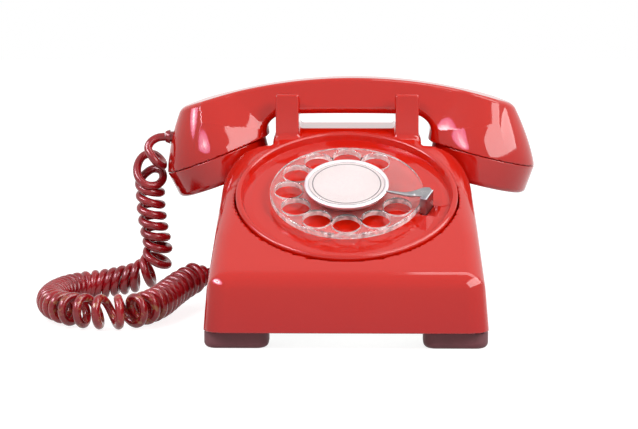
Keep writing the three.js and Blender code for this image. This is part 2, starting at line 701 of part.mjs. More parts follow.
// Bail that both plungers push down, with a tail that works the contacts.
function makeSwitchLever() {
  const reach = PRONG_INNER_X + 8;
  const { y, z } = LEVER_PIVOT;
  const top = PLUNGER_FOOT_Z - 0.6;
  const bar = block(-reach, reach, HANDSET_Y - 1.5, HANDSET_Y + 1.5, top - 2, top);
  const arms = [-1, 1].map((side) => {
    const outline = [[y - 3, z - 2.5], [y + 4, z - 2.5], [HANDSET_Y + 1.5, top - 2.5],
      [HANDSET_Y + 1.5, top], [HANDSET_Y - 2, top], [y - 3, z + 2.5]];
    return plate(shapeOf(outline), 1.5).rotateX(Math.PI / 2).rotateZ(Math.PI / 2)
      .translate(side * (SWITCH_HALF + 2.5) - 0.75, 0, 0);
  });
  const pin = rod(1.6, -SWITCH_HALF - 4, SWITCH_HALF + 4, 0, 0, 12).rotateY(Math.PI / 2).translate(0, y, z);
  return united(bar, ...arms, pin);
}

function makeSwitchBracket() {
  const { y, z } = LEVER_PIVOT;
  const wall = block(-SWITCH_HALF, SWITCH_HALF, y - 7, y - 5.5, BASE_TOP_Z + GAP, z - 4);
  const foot = block(-SWITCH_HALF, SWITCH_HALF, y - 7, y + 8, BASE_TOP_Z + GAP, BASE_TOP_Z + 1.8);
  const ears = [-1, 1].map((side) => block(
    side * (SWITCH_HALF - 0.75) - 0.75, side * (SWITCH_HALF - 0.75) + 0.75, y - 7, y + 4, z - 14, z + 4));
  const bore = rod(1.6 + GAP, -40, 40, 0, 0, 12).rotateY(Math.PI / 2).translate(0, y, z);
  return cut(united(wall, foot, ...ears), bore);
}

// Stack of spring leaves between insulators.
function makeSwitchContacts() {
  const { y, z } = LEVER_PIVOT;
  const stack = block(-8, 8, y - 5.2, y + 3, z - 34, z - 26);
  const leaves = [0, 1, 2].map((i) => block(
    -6 + i * 4.4, -3 + i * 4.4, y - 3.6 + i * 2, y - 3 + i * 2, z - 27, z - 8 - i));
  return united(stack, ...leaves);
}

// Helical wire spring as one tube.
function makeSwitchSpring() {
  const { r, wire, pitch, turns, behind, z } = SWITCH_SPRING;
  const points = [];
  const steps = Math.round(turns * 6);
  for (let i = 0; i <= steps; i += 1) {
    const a = 2 * Math.PI * i / 6;
    points.push([r * Math.cos(a), r * Math.sin(a), i * pitch / 6]);
  }
  return tube(points, wire / 2, 4, steps).translate(0, LEVER_PIVOT.y + behind, z);
}

// ---------------------------------------------------------------------- dial

const dial = new THREE.Group();
dial.position.set(0, DIAL_Y, DIAL_Z);
dial.rotation.x = toRad(DIAL_TILT);
phone.add(dial);

const plateLow = PLATE_TOP_Z - PLATE_THICKNESS;
const STOP = { x0: WHEEL_R + 0.1, x1: WHEEL_R + 7.5, y: -4.2, thickness: 1.3, rise: 1.2 };

function stopSlot(clearance, z0, z1) {
  return block(STOP.x0 - clearance, STOP.x1 + clearance,
    STOP.y - 7 - clearance, STOP.y + clearance, z0, z1);
}

// Dished ring that fills the well; its lip stands proud of the deck.
function makeNumberRing() {
  const low = RING_DISH_Z - RING_THICKNESS;
  const ring = turned([
    [RING_BORE_R, low], [RING_DISH_R, low], [RING_R - 4, RING_LIP_Z - 3.2],
    [RING_R - 2, -RING_SKIRT_DEPTH], [RING_R, -RING_SKIRT_DEPTH], [RING_R, RING_LIP_Z - 2],
    [RING_R - 0.7, RING_LIP_Z - 0.6], [RING_R - 2.2, RING_LIP_Z], [RING_R - 4, RING_LIP_Z - 0.5],
    [RING_DISH_R, RING_DISH_Z], [RING_BORE_R, RING_DISH_Z], [RING_BORE_R, low],
  ], 36);
  return cut(ring, stopSlot(0.6, low - 3, RING_LIP_Z + 3));
}

function makeFingerWheel() {
  const disc = turned([
    [SHAFT_R + GAP, -WHEEL_THICKNESS], [WHEEL_R - 1, -WHEEL_THICKNESS],
    [WHEEL_R, -WHEEL_THICKNESS + 1], [WHEEL_R, -1], [WHEEL_R - 1, 0], [SHAFT_R + GAP, 0],
    [SHAFT_R + GAP, -WHEEL_THICKNESS],
  ], 36);
  const holes = [];
  for (let i = 0; i < HOLE_COUNT; i += 1) {
    const a = toRad(FIRST_HOLE_ANGLE + i * HOLE_STEP);
    const [x, y] = [HOLE_PITCH_R * Math.cos(a), HOLE_PITCH_R * Math.sin(a)];
    holes.push(rod(HOLE_R, -WHEEL_THICKNESS - 1, 1, x, y, 12));
  }
  return cut(disc, ...holes);
}

function makeCardBezel() {
  const seat = BEZEL_HEIGHT - CARD_DEPTH - GAP;
  return turned([
    [0, GAP], [BEZEL_R - 2, GAP], [BEZEL_R - 1.2, 0.9], [BEZEL_R, BEZEL_HEIGHT - 0.9],
    [BEZEL_R - 0.8, BEZEL_HEIGHT], [CARD_R + GAP, BEZEL_HEIGHT - 0.3], [CARD_R + GAP, seat],
    [0, seat],
  ], 26);
}

function makeStop() {
  const { x0, x1, y, thickness, rise } = STOP;
  const tipX = BEZEL_R + RUNNING_GAP;
  const arm = [[tipX, -0.9], [31, -0.6], [38, 0.6], [x1 - 3, 2.8], [x1 + 1, 1.4], [x1, y], [x0, y],
    [38, -2.6], [31, -2.8], [tipX, -2.6]];
  const finger = plate(shapeOf(arm), thickness, rise);
  const tab = [[y, rise], [y, rise + thickness], [y - 2, rise + thickness], [y - 6.2, PLATE_TOP_Z + GAP],
    [y - 4.6, PLATE_TOP_Z + GAP]];
  const flange = plate(shapeOf(tab), x1 - x0).rotateX(Math.PI / 2).rotateZ(Math.PI / 2);
  return united(finger, flange.translate(x0, 0, 0));
}

function postPlaces() {
  return [90, 140, 330].map((a) => [32 * Math.cos(toRad(a)), 32 * Math.sin(toRad(a))]);
}

const gearDistance = (MAIN_GEAR_TEETH + PINION_TEETH) * MAIN_MODULE / 2;
const speedDistance = (SPEED_GEAR_TEETH + GOVERNOR_TEETH) * SPEED_MODULE / 2;
const LAY_ANGLE = 215;         // direction of the lay shaft from the main shaft
const GOVERNOR_ANGLE = 320;    // and of the governor from the lay shaft
const LAY_SHAFT = {
  x: gearDistance * Math.cos(toRad(LAY_ANGLE)), y: gearDistance * Math.sin(toRad(LAY_ANGLE)),
};
const GOVERNOR = {
  x: LAY_SHAFT.x + speedDistance * Math.cos(toRad(GOVERNOR_ANGLE)),
  y: LAY_SHAFT.y + speedDistance * Math.sin(toRad(GOVERNOR_ANGLE)),
};

const PULSE_CAM_Z = SPEED_GEAR_Z + GEAR_THICKNESS + 0.5;

// Angle of a tooth that leaves a tooth space facing back along a direction.
const facingSpace = (direction, teeth) => direction + 180 + 180 / teeth;

// Front plate of the movement, with the seat that carries the number ring.
function makeDialPlate() {
  const disc = turned([
    [SHAFT_R + GAP, plateLow], [PLATE_R, plateLow], [PLATE_R, PLATE_TOP_Z], [25, PLATE_TOP_Z],
    [24, RING_DISH_Z - RING_THICKNESS - GAP], [20, RING_DISH_Z - RING_THICKNESS - GAP],
    [19, PLATE_TOP_Z], [SHAFT_R + GAP, PLATE_TOP_Z], [SHAFT_R + GAP, plateLow],
  ], 24);
  const lug = block(PLATE_R - 3, STOP.x1 + 2, STOP.y - 8, STOP.y + 5, plateLow, PLATE_TOP_Z);
  const bore = rod(1.5 + GAP, plateLow - 1, PLATE_TOP_Z + 1, LAY_SHAFT.x, LAY_SHAFT.y, 10);
  return cut(united(disc, lug), bore);
}

function makeBridge() {
  const outline = roundedRectangle(35, 36, 12, -2, -1);
  outline.holes = [circlePath(0, 0, SHAFT_R + GAP), circlePath(LAY_SHAFT.x, LAY_SHAFT.y, 1.5 + GAP),
    circlePath(GOVERNOR.x, GOVERNOR.y, 1.2 + GAP)];
  return plate(outline, BRIDGE_THICKNESS, BRIDGE_TOP_Z - BRIDGE_THICKNESS, 5);
}

function makeMainShaft() {
  const hubTop = -WHEEL_THICKNESS - GAP;
  return turned([
    [0, BRIDGE_TOP_Z - 2.5], [SHAFT_R, BRIDGE_TOP_Z - 2.5], [SHAFT_R, hubTop - 1.8],
    [9, hubTop - 1.8], [9, hubTop], [SHAFT_R, hubTop], [SHAFT_R, -0.3], [0, -0.3],
  ], 20);
}

// Ribbon spring wound between the front plate and the main gear.
function makeMainspring() {
  const outer = [];
  const inner = [];
  const steps = Math.round(SPRING_TURNS * 12);
  for (let i = 0; i <= steps; i += 1) {
    const a = 2 * Math.PI * i / 12;
    const r = SPRING_INNER_R + SPRING_PITCH * i / 12;
    outer.push([(r + SPRING_STRIP) * Math.cos(a), (r + SPRING_STRIP) * Math.sin(a)]);
    inner.unshift([r * Math.cos(a), r * Math.sin(a)]);
  }
  return plate(shapeOf([...outer, ...inner]), SPRING_HEIGHT, MAIN_GEAR_Z + GEAR_THICKNESS + 0.7);
}

function makeLayPinion() {
  const pinion = gear(PINION_TEETH, MAIN_MODULE, GEAR_THICKNESS + 1, MAIN_GEAR_Z - 0.5, 0,
    facingSpace(LAY_ANGLE, PINION_TEETH));
  const arbor = rod(1.5, BRIDGE_TOP_Z - 2, PLATE_TOP_Z - 0.2, 0, 0, 12);
  return united(pinion, arbor).translate(LAY_SHAFT.x, LAY_SHAFT.y, 0);
}

function makePulseCam() {
  const lobes = new THREE.Shape();
  for (let i = 0; i < 24; i += 1) {
    const a = 2 * Math.PI * i / 24;
    const r = 4.2 + 1.6 * Math.abs(Math.cos(a)) ** 3;
    if (i === 0) lobes.moveTo(r, 0);
    else lobes.lineTo(r * Math.cos(a), r * Math.sin(a));
  }
  lobes.holes = [circlePath(0, 0, 1.5 + GAP)];
  return plate(lobes, 1.8, PULSE_CAM_Z).translate(LAY_SHAFT.x, LAY_SHAFT.y, 0);
}

function makeGovernorRotor() {
  const pinion = gear(GOVERNOR_TEETH, SPEED_MODULE, GEAR_THICKNESS + 0.8, SPEED_GEAR_Z - 0.4, 0,
    facingSpace(GOVERNOR_ANGLE, GOVERNOR_TEETH));
  const arbor = rod(1.2, BRIDGE_TOP_Z - 1.8, SPEED_GEAR_Z + 3.2, 0, 0, 10);
  return united(pinion, arbor).translate(GOVERNOR.x, GOVERNOR.y, 0);
}

// Two weights on a cross bar, which fly out and rub in the cup.
function makeGovernorWeights() {
  const bar = block(-6.6, 6.6, -1, 1, BRIDGE_TOP_Z + 2.6, BRIDGE_TOP_Z + 4.2);
  const weights = [-1, 1].map((side) => rod(
    1.7, BRIDGE_TOP_Z + 2, BRIDGE_TOP_Z + 4.8, side * 5, 0, 10));
  const bore = rod(1.2 + GAP, BRIDGE_TOP_Z, BRIDGE_TOP_Z + 8, 0, 0, 10);
  const eye = rod(2.6, BRIDGE_TOP_Z + 2, BRIDGE_TOP_Z + 4.8, 0, 0, 12);
  return cut(united(bar, eye, ...weights), bore).translate(GOVERNOR.x, GOVERNOR.y, 0);
}

function makeGovernorCup() {
  const low = BRIDGE_TOP_Z + GAP;
  return turned([
    [1.2 + GAP, low], [GOVERNOR_CUP_R, low], [GOVERNOR_CUP_R, low + 5], [GOVERNOR_CUP_R - 0.8, low + 5],
    [GOVERNOR_CUP_R - 0.8, low + 0.8], [1.2 + GAP, low + 0.8], [1.2 + GAP, low],
  ], 24).translate(GOVERNOR.x, GOVERNOR.y, 0);
}

function makePulseContacts() {
  const x = LAY_SHAFT.x - 6;
  const low = BRIDGE_TOP_Z + GAP;
  const top = PULSE_CAM_Z + 1.8;
  const stack = block(x - 6, x + 1, LAY_SHAFT.y + 11, LAY_SHAFT.y + 17, low, top);
  const leaves = [0, 1].map((i) => block(
    x - 1 - i * 2.4, x - 0.5 - i * 2.4, LAY_SHAFT.y - 3, LAY_SHAFT.y + 12, PULSE_CAM_Z, top));
  return united(stack, ...leaves);
}

// Frame that carries the dial above the base plate.
function makeDialBracket() {
  const top = plateLow - GAP;
  const hoop = dialPlace(turned([
    [37, top - PLATE_SHEET], [46, top - PLATE_SHEET], [46, top], [37, top], [37, top - PLATE_SHEET],
  ], 28));
  const legs = [-1, 1].map((side) => block(
    side * 44 - 0.8, side * 44 + 0.8, -42, -24, BASE_TOP_Z + GAP, 64));
  const feet = [-1, 1].map((side) => block(
    side * 49 - 5.8, side * 49 + 5.8, -42, -24, BASE_TOP_Z + GAP, BASE_TOP_Z + 1.8));
  const ceiling = dialPlace(rod(70, top - 0.1, top + 20, 0, 0, 12));
  return united(hoop, ...legs.map((leg) => cut(leg, ceiling)), ...feet);
}

function makeDial() {
  add(dial, 'number_ring', makeNumberRing(), RED);
  add(dial, 'finger_wheel', makeFingerWheel(), CLEAR);
  add(dial, 'card_bezel', makeCardBezel(), CHROME);
  const cardLow = BEZEL_HEIGHT - CARD_DEPTH;
  const windowLow = cardLow + CARD_SHEET + GAP;
  add(dial, 'number_card', rod(CARD_R, cardLow, cardLow + CARD_SHEET, 0, 0, 30), WHITE);
  add(dial, 'card_window', turned([
    [0, windowLow], [CARD_R, windowLow], [CARD_R, windowLow + 0.4], [12, windowLow + 1],
    [0, windowLow + 1.2]], 30), CLEAR);
  add(dial, 'finger_stop', makeStop(), STEEL);
  add(dial, 'dial_plate', makeDialPlate(), STEEL);
  add(dial, 'dial_bridge', makeBridge(), STEEL);
  postPlaces().forEach(([x, y], i) => add(dial, `dial_post_${i + 1}`,
    rod(POST_R, BRIDGE_TOP_Z + GAP, plateLow - GAP, x, y, 10), BRASS));
  add(dial, 'main_shaft', makeMainShaft(), STEEL);
  add(dial, 'main_gear', gear(
    MAIN_GEAR_TEETH, MAIN_MODULE, GEAR_THICKNESS, MAIN_GEAR_Z, SHAFT_R + GAP, LAY_ANGLE), BRASS);
  add(dial, 'mainspring', makeMainspring(), STEEL);
  add(dial, 'lay_pinion', makeLayPinion(), STEEL);
  const speedGear = gear(
    SPEED_GEAR_TEETH, SPEED_MODULE, GEAR_THICKNESS, SPEED_GEAR_Z, 1.5 + GAP, GOVERNOR_ANGLE);
  add(dial, 'speed_gear', speedGear.translate(LAY_SHAFT.x, LAY_SHAFT.y, 0), BRASS);
  add(dial, 'pulse_cam', makePulseCam(), BLACK);
  add(dial, 'governor_rotor', makeGovernorRotor(), STEEL);
  add(dial, 'governor_weights', makeGovernorWeights(), BRASS);
  add(dial, 'governor_cup', makeGovernorCup(), BRASS);
  add(dial, 'pulse_contacts', makePulseContacts(), BLACK);
}

// ------------------------------------------------------------------- handset

const CORD_EXIT_Z = 97.5;
const DUCT_R = 3.6;            // for the receiver's wires, through the handle
const DUCT_BENDS = [           // share of HEAD_INNER_X, and share of the way up the handle
  [-1.55, 0.12], [-1, 0.55], [0, 0.55], [1, 0.55], [1.55, 0.12],
];

const handset = new THREE.Group();
handset.position.set(HANDSET_X, HANDSET_Y, 0);
phone.add(handset);

const sag = (r, x) => r - Math.sqrt(r * r - x * x);

function handleTop(x) {
  return HANDLE_TOP_Z - sag(HANDLE_TOP_R, x - HANDLE_TOP_X);
}

// Underside, resting on the saddles, then curving down into each head.
function handleUnder(x) {
  const rest = PRONG_OUTER_X + HANDSET_X;
  const reach = Math.min(Math.abs(x), rest);
  const arch = SADDLE_Z + GAP + sag(HANDLE_UNDER_R, rest) - sag(HANDLE_UNDER_R, reach);
  const into = THREE.MathUtils.clamp(Math.abs(x) - HEAD_INNER_X + WEB_R, 0, WEB_R);
  return arch - sag(WEB_R, into);
}

function handleSection(x) {
  const top = handleTop(x);
  const low = handleUnder(x);
  const spread = THREE.MathUtils.smoothstep(Math.abs(x), 36, 62) * 1.6;
  const corners = [
    [HANDLE_FOOT_HALF + spread, low, 4.5, -90], [HANDLE_TOP_HALF, top, 2, 0],
    [-HANDLE_TOP_HALF, top, 2, 90], [-HANDLE_FOOT_HALF - spread, low, 4.5, 180],
  ];
  const outline = [];
  for (const [y, z, r, start] of corners) {
    const cy = y - Math.sign(y) * r;
    const cz = z === top ? z - r : z + r;
    for (let k = 0; k <= 2; k += 1) {
      const a = toRad(start + 45 * k);
      outline.push([x, cy + r * Math.cos(a), cz + r * Math.sin(a)]);
    }
  }
  return outline;
}

function handleStations() {
  const stations = [];
  for (let x = -84; x <= 84; x += 21) stations.push(x);
  for (let k = 0; k <= 3; k += 1) {
    const x = HEAD_INNER_X - WEB_R * (1 - Math.sin(Math.PI / 2 * k / 3));
    stations.push(x, -x);
  }
  return stations.sort((a, b) => a - b).filter((x, i, all) => i === 0 || x - all[i - 1] > 0.8);
}

// Ring round a head: on the tilted seam at share 0, on the level crown at 1.
function headRing(head, r, share, sides = 22) {
  const tilt = toRad(head.tilt) * (1 - Math.min(share, 1));
  const x = head.seamX + (head.crownX - head.seamX) * share;
  const z = head.seamZ + (head.crownZ - head.seamZ) * share;
  const ring = [];
  for (let i = 0; i < sides; i += 1) {
    const a = 2 * Math.PI * i / sides;
    ring.push([
      x + r * Math.cos(a) * Math.cos(tilt), r * Math.sin(a),
      z - head.side * r * Math.cos(a) * Math.sin(tilt),
    ]);
  }
  return ring;
}

function headShell(head, inset, shares) {
  return loft(shares.map((share) => {
    const r = HEAD_R + (HEAD_CROWN_R - HEAD_R) * Math.max(share, 0) ** 1.25;
    return headRing(head, Math.max(r - inset, 2), share);
  }));
}

// Everything below the arched back.
function underArch(inset) {
  const points = [[-120, 40], [120, 40]];
  for (let x = 120; x >= -120; x -= 12) points.push([x, handleTop(x) - inset]);
  return plate(shapeOf(points), 100).rotateX(Math.PI / 2).translate(0, 50, 0);
}

function makeHandle() {
  const heads = [TRANSMITTER, RECEIVER];
  const grip = loft(handleStations().map(handleSection));
  const shells = heads.map((head) => headShell(head, 0, [0, 0.5, 1, 1.35]));
  const body = common(united(grip, ...shells), underArch(0));
  const pockets = heads.map((head) => united(
    headShell(head, HANDSET_WALL + 1.5, [0.1, 0.6]),
    onHead(head, rod(COLLAR_R + RUNNING_GAP, -1, CAP_COLLAR + 1, 0, 0, 22)),
  ));
  const bends = DUCT_BENDS.map(([share, up]) => {
    const x = share * HEAD_INNER_X;
    return [x, 0, handleUnder(x) + (handleTop(x) - handleUnder(x)) * up];
  });
  const duct = tube(bends, DUCT_R, 5, 10);
  const exit = rod(CORD_D / 2 + 1.2, -112, -84, 0, 0, 12).rotateY(Math.PI / 2).translate(0, 0, CORD_EXIT_Z);
  return cut(body, ...pockets, duct, exit);
}

function onHead(head, geometry) {
  return geometry.rotateY(toRad(head.side * head.tilt)).translate(head.seamX, 0, head.seamZ);
}

// Screw-on cap: a cup with a dished, perforated face and a collar above.
function makeCap(head, rings) {
  const face = -CAP_DEPTH;
  const cup = turned([
    [0, face + 1], [CAP_FACE_R - 4, face], [CAP_FACE_R - 1, face + 0.6], [CAP_FACE_R, face + 2.4],
    [HEAD_R, -GAP], [COLLAR_R, -GAP], [COLLAR_R, CAP_COLLAR], [COLLAR_R - 1.8, CAP_COLLAR],
    [COLLAR_R - 1.8, -1], [CAP_FACE_R - CAP_WALL, face + 4.4],
    [CAP_FACE_R - CAP_WALL - 2, face + CAP_WALL + 0.4], [0, face + CAP_WALL + 0.6],
  ], 22);
  const holes = [];
  for (const [r, count] of rings) {
    for (let i = 0; i < count; i += 1) {
      const a = 2 * Math.PI * i / count;
      holes.push(rod(1.4, face - 2, face + 5, r * Math.cos(a), r * Math.sin(a), 5));
    }
  }
  return onHead(head, cut(cup, ...holes));
}

function makeUnit(head, domeHeight) {
  const low = -CAP_DEPTH + CAP_WALL + 0.6 + GAP;
  return onHead(head, turned([
    [0, low], [UNIT_R - 1.5, low], [UNIT_R, low + 1.5], [UNIT_R, low + 5], [UNIT_R - 5, low + 6],
    [UNIT_R - 6, low + UNIT_DEPTH], [6, low + UNIT_DEPTH + domeHeight], [0, low + UNIT_DEPTH + domeHeight],
  ], 20));
}

function makeHandset() {
  add(handset, 'handle', makeHandle(), RED);
  add(handset, 'transmitter_cap', makeCap(TRANSMITTER, [[0, 1], [8, 6]]), RED);
  add(handset, 'receiver_cap', makeCap(RECEIVER, [[0, 1], [6, 4]]), RED);
  add(handset, 'transmitter_unit', makeUnit(TRANSMITTER, 1), STEEL);
  add(handset, 'receiver_unit', makeUnit(RECEIVER, 2.5), BLACK);
}

// --------------------------------------------------------------------- cords

const BUSH_TIP_X = -104;
const BUSH_LENGTH = 15.5;
const BUSH_FLANGE = 2.7;       // outside the head
const BUSH_LATCH = 1.3;        // rim behind the head's wall
const COIL_TOP = [-113.2, HANDSET_Y, 84];

// Middle line of the curled stretch, from the handset down to the table, round
// a loop to the left and back to the housing's side.
const COIL_ROUTE = [
  COIL_TOP, [-113.2, 36.9, 72], [-112.8, 37, 58], [-111.4, 37.4, 46], [-109.6, 38.3, 36],
  [-109.6, 39.6, 27.5], [-112.8, 41, 20.6], [-119.5, 42.6, 16.4], [-129, 44.6, 13.4],
  [-140, 46.6, 11], [-150.5, 45.6, 9.8], [-158.6, 38, 9.4], [-163.6, 24, 9.4], [-165.4, 6, 9.6],
  [-164, -12, 10], [-158.8, -28, 10.2], [-150, -39.4, 10.2], [-138.4, -46, 10.2],
  [-126, -47.8, 10.2], [-115.4, -43.4, 10.2], [-108, -31, 10.4], [-103, -13, 10.8], [-99, 7, 12],
  [-93.7, 22.5, 14.2], [-88.1, 32.3, 16.4], [-84.1, 37.4, 17.6],
];
const HANDSET_TAIL = [
  [BUSH_TIP_X - GAP, HANDSET_Y, CORD_EXIT_Z], [-107.6, HANDSET_Y, 97], [-111, HANDSET_Y, 94.4],
  [-112.8, HANDSET_Y, 90], [COIL_TOP[0], HANDSET_Y, COIL_TOP[2] + GAP],
];
const BASE_TAIL = [
  [-83.8, 37.7, 17.7], [-81.5, 39.6, 18.4], [-78.3, CORD_OUTLET.y, CORD_OUTLET.z],
];

function makeBushing() {
  const bore = CORD_D / 2 + GAP;
  const neck = bore + 0.6;
  const inner = BUSH_TIP_X + BUSH_LENGTH;
  const latch = inner - BUSH_LATCH;
  const flange = BUSH_TIP_X + BUSH_FLANGE;
  return turned([
    [bore, inner], [neck + 0.8, inner], [neck + 0.8, latch], [neck, latch], [neck, flange],
    [neck + 1.1, flange], [neck + 0.1, BUSH_TIP_X], [bore, BUSH_TIP_X], [bore, inner],
  ], 12).rotateY(Math.PI / 2).translate(-HANDSET_X, 0, CORD_EXIT_Z);
}

// Grommet in the housing's left wall, where the cord goes in.
function makeGrommet() {
  const wallX = halfWidth(CORD_OUTLET.z);
  const seat = CORD_D / 2 + 2.3;
  return turned([
    [CORD_D / 2 + 0.3, wallX - 5.4], [seat + 1.4, wallX - 5.4], [seat + 1.4, wallX - WALL - 0.5],
    [seat, wallX - WALL - 0.5], [seat, wallX + 0.5], [seat + 1.2, wallX + 0.5], [seat, wallX + 4],
    [CORD_D / 2 + 0.3, wallX + 4], [CORD_D / 2 + 0.3, wallX - 5.4],
  ], 12).rotateY(-Math.PI / 2).translate(0, CORD_OUTLET.y, CORD_OUTLET.z);
}

function makeCords() {
  add(phone, 'curly_cord', tube(COIL_ROUTE, COIL_D / 2, 8, 42), CORD_RED);
  add(phone, 'handset_tail', tube(HANDSET_TAIL, CORD_D / 2, 8, 6), CORD_RED);
  add(phone, 'base_tail', tube(BASE_TAIL, CORD_D / 2, 8, 3), CORD_RED);
  add(phone, 'cord_grommet', makeGrommet(), BLACK);
}

// ------------------------------------------------------------------ assembly

add(phone, 'base_plate', makeBasePlate(), STEEL);
for (const [name, x, y] of footPlaces()) add(phone, name, makeFoot(x, y), RUBBER);
add(phone, 'base_screw_front', makeBaseScrew(-BOSS_Y), STEEL);
add(phone, 'base_screw_rear', makeBaseScrew(BOSS_Y), STEEL);
add(phone, 'ringer_frame', makeRingerFrame(), STEEL);
add(phone, 'ringer_coil', makeCoil(), BRASS);
GONG_Y.forEach((y, i) => {
  add(phone, `gong_${i + 1}`, makeGong(y), BRASS);
  add(phone, `gong_screw_${i + 1}`, makeGongScrew(y), STEEL);
});
add(phone, 'clapper', makeClapper(), STEEL);
add(phone, 'volume_wheel', makeVolumeWheel(), BLACK);
add(phone, 'volume_bracket', makeVolumeBracket(), STEEL);
add(phone, 'network', makeNetwork(), BLACK);
terminalPlaces().forEach(([x, y], i) => add(
  phone, `terminal_screw_${i + 1}`, makeTerminalScrew(x, y), BRASS));
add(phone, 'plunger_left', makePlunger(-1), CLEAR);
add(phone, 'plunger_right', makePlunger(1), CLEAR);
add(phone, 'switch_lever', makeSwitchLever(), STEEL);
add(phone, 'switch_bracket', makeSwitchBracket(), STEEL);
add(phone, 'switch_contacts', makeSwitchContacts(), WHITE);
add(phone, 'switch_spring', makeSwitchSpring(), STEEL);
add(phone, 'dial_bracket', makeDialBracket(), STEEL);
makeDial();
makeHandset();
add(handset, 'cord_bushing', makeBushing(), BLACK);
makeCords();

export default phone;
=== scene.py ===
# %% [markdown]
# # A red rotary desk telephone
# The telephone is built round a fixed frame: every piece is placed in metres in
# the frame's own space, and each new piece but the cord rides on one of its
# bodies. Sizes below are written in millimetres, because the real pieces were
# drawn in them, and one factor turns them into metres.

# %% Load the frame
import json
import math
import bmesh
import bpy
import numpy as np
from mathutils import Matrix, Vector


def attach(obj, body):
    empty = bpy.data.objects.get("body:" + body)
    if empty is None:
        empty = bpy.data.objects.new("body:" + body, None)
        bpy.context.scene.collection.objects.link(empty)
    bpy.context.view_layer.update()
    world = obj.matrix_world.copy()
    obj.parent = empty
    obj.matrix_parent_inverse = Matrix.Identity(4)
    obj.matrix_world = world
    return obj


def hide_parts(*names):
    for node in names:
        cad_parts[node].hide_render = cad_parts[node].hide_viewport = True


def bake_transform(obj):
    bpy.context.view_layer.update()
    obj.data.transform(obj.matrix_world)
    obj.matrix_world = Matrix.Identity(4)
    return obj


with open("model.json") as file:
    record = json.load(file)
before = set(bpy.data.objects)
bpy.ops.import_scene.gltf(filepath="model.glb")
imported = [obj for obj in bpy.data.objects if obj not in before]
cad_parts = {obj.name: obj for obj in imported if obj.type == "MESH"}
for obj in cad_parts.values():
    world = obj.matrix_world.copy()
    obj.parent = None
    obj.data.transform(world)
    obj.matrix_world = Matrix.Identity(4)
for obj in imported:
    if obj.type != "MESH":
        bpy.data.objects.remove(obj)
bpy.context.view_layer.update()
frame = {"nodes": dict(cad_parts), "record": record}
MM = 0.001

# %% [markdown]
# ## Camera
# A long lens from well in front keeps the telephone's sides nearly parallel. The
# camera stands above the dial, tips down a little, and is turned slightly to the
# left, so the telephone sits right of the middle and leaves room for the cord.

# %% Camera
CAMERA_PLACE = Vector((4.9, -1233.3, 213.9)) * MM
CAMERA_PITCH = 7.23
CAMERA_TURN = 0.951
LENS = 125.74

camera = bpy.data.objects.new("camera", bpy.data.cameras.new("camera"))
bpy.context.scene.collection.objects.link(camera)
camera.data.lens = LENS
camera.data.sensor_width = 36
camera.data.clip_end = 50
camera.location = CAMERA_PLACE
camera.rotation_euler = (math.radians(90 - CAMERA_PITCH), 0, math.radians(CAMERA_TURN))
bpy.context.scene.camera = camera
bpy.context.scene.view_settings.view_transform = "Standard"
print("camera", [round(c, 3) for c in camera.location])

# %% [markdown]
# ## From lists of points to pieces
# Most pieces are computed as arrays of points, so one helper turns points and
# faces into an object whose origin is the frame's origin. Another marks edges
# sharper than an angle, so that flat faces stay flat while curves shade smooth.

# %% Points and faces to an object
def linked(name, data):
    made = bpy.data.objects.new(name, data)
    bpy.context.scene.collection.objects.link(made)
    return made


def evaluated_mesh(obj):
    """The mesh that an object's modifiers make, as a plain mesh of its own."""
    ready = obj.evaluated_get(bpy.context.evaluated_depsgraph_get())
    return bpy.data.meshes.new_from_object(ready)


def piece(name, points, faces, sharp=40, normals=None):
    mesh = bpy.data.meshes.new(name)
    mesh.from_pydata((np.asarray(points) * MM).tolist(), [], [tuple(map(int, f)) for f in faces])
    mesh.validate()
    mesh.shade_smooth()
    if normals is not None:
        mesh.normals_split_custom_set_from_vertices(normals.tolist())
    elif sharp < 180:
        mesh.set_sharp_from_angle(angle=math.radians(sharp))
    return linked(name, mesh)


def finished(obj, finish, body, slot, *nodes):
    obj.data.materials.clear()
    obj.data.materials.append(finish)
    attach(obj, body)
    if nodes:
        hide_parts(*nodes)
    print(obj.name, len(obj.data.polygons), "faces")
    return obj

# %% [markdown]
# ## The curled cord
# The real cord is one vinyl-covered lead of about two metres, wound hot on a
# rod, so that it springs back into a coil. It could be made as a curve with a
# twisted array, but here the winding changes along the way: loose turns by the
# handset, open worn turns at the front and tight ones elsewhere. So a helix is
# computed along a smooth route, and a tube follows the helix. The winding is
# left-handed, and where the coil lies on the table its turns lean over.

# %% The route's middle line
CORD_D = 4.8
LOOSE_END = [
    (-104.3, 36.9, 97.5), (-108.5, 36.5, 96.9), (-112.3, 35, 94.6), (-113.8, 33.5, 91.2),
    (-112, 31, 87.6), (-108.8, 30, 83.6), (-105.8, 33, 81), (-106.6, 40.5, 83.2),
    (-111.5, 43, 86.8), (-117, 41, 86.2), (-120.2, 36, 81), (-119.3, 31, 74.6),
    (-114.8, 29, 70.6), (-109, 31, 70.2), (-105.8, 36, 73.2), (-107.2, 42, 77.2),
    (-112, 44, 78.2), (-117.2, 41.5, 74.8),
]
ROUTE = [
    (-113.2, 36.9, 70), (-112.8, 37, 58), (-111.4, 37.4, 46), (-109.6, 38.3, 36),
    (-109.6, 39.6, 27.5), (-112.8, 41, 20.6), (-119.5, 42.6, 16.4), (-129, 44.6, 13.4),
    (-140, 46.6, 11), (-150.5, 45.6, 9.8), (-158.6, 38, 9.4), (-163.6, 24, 9.4),
    (-165.4, 6, 9.6), (-164, -12, 10), (-158.8, -28, 10.2), (-150, -39.4, 10.2),
    (-138.4, -46, 10.2), (-126, -47.8, 10.2), (-115.4, -43.4, 10.2), (-108, -31, 10.4),
    (-103, -13, 10.8), (-99, 7, 12), (-93.7, 22.5, 14.2), (-88.1, 32.3, 16.4),
    (-83.8, 37.7, 17.7), (-81.5, 39.6, 18.4), (-78.3, 41, 19),
]


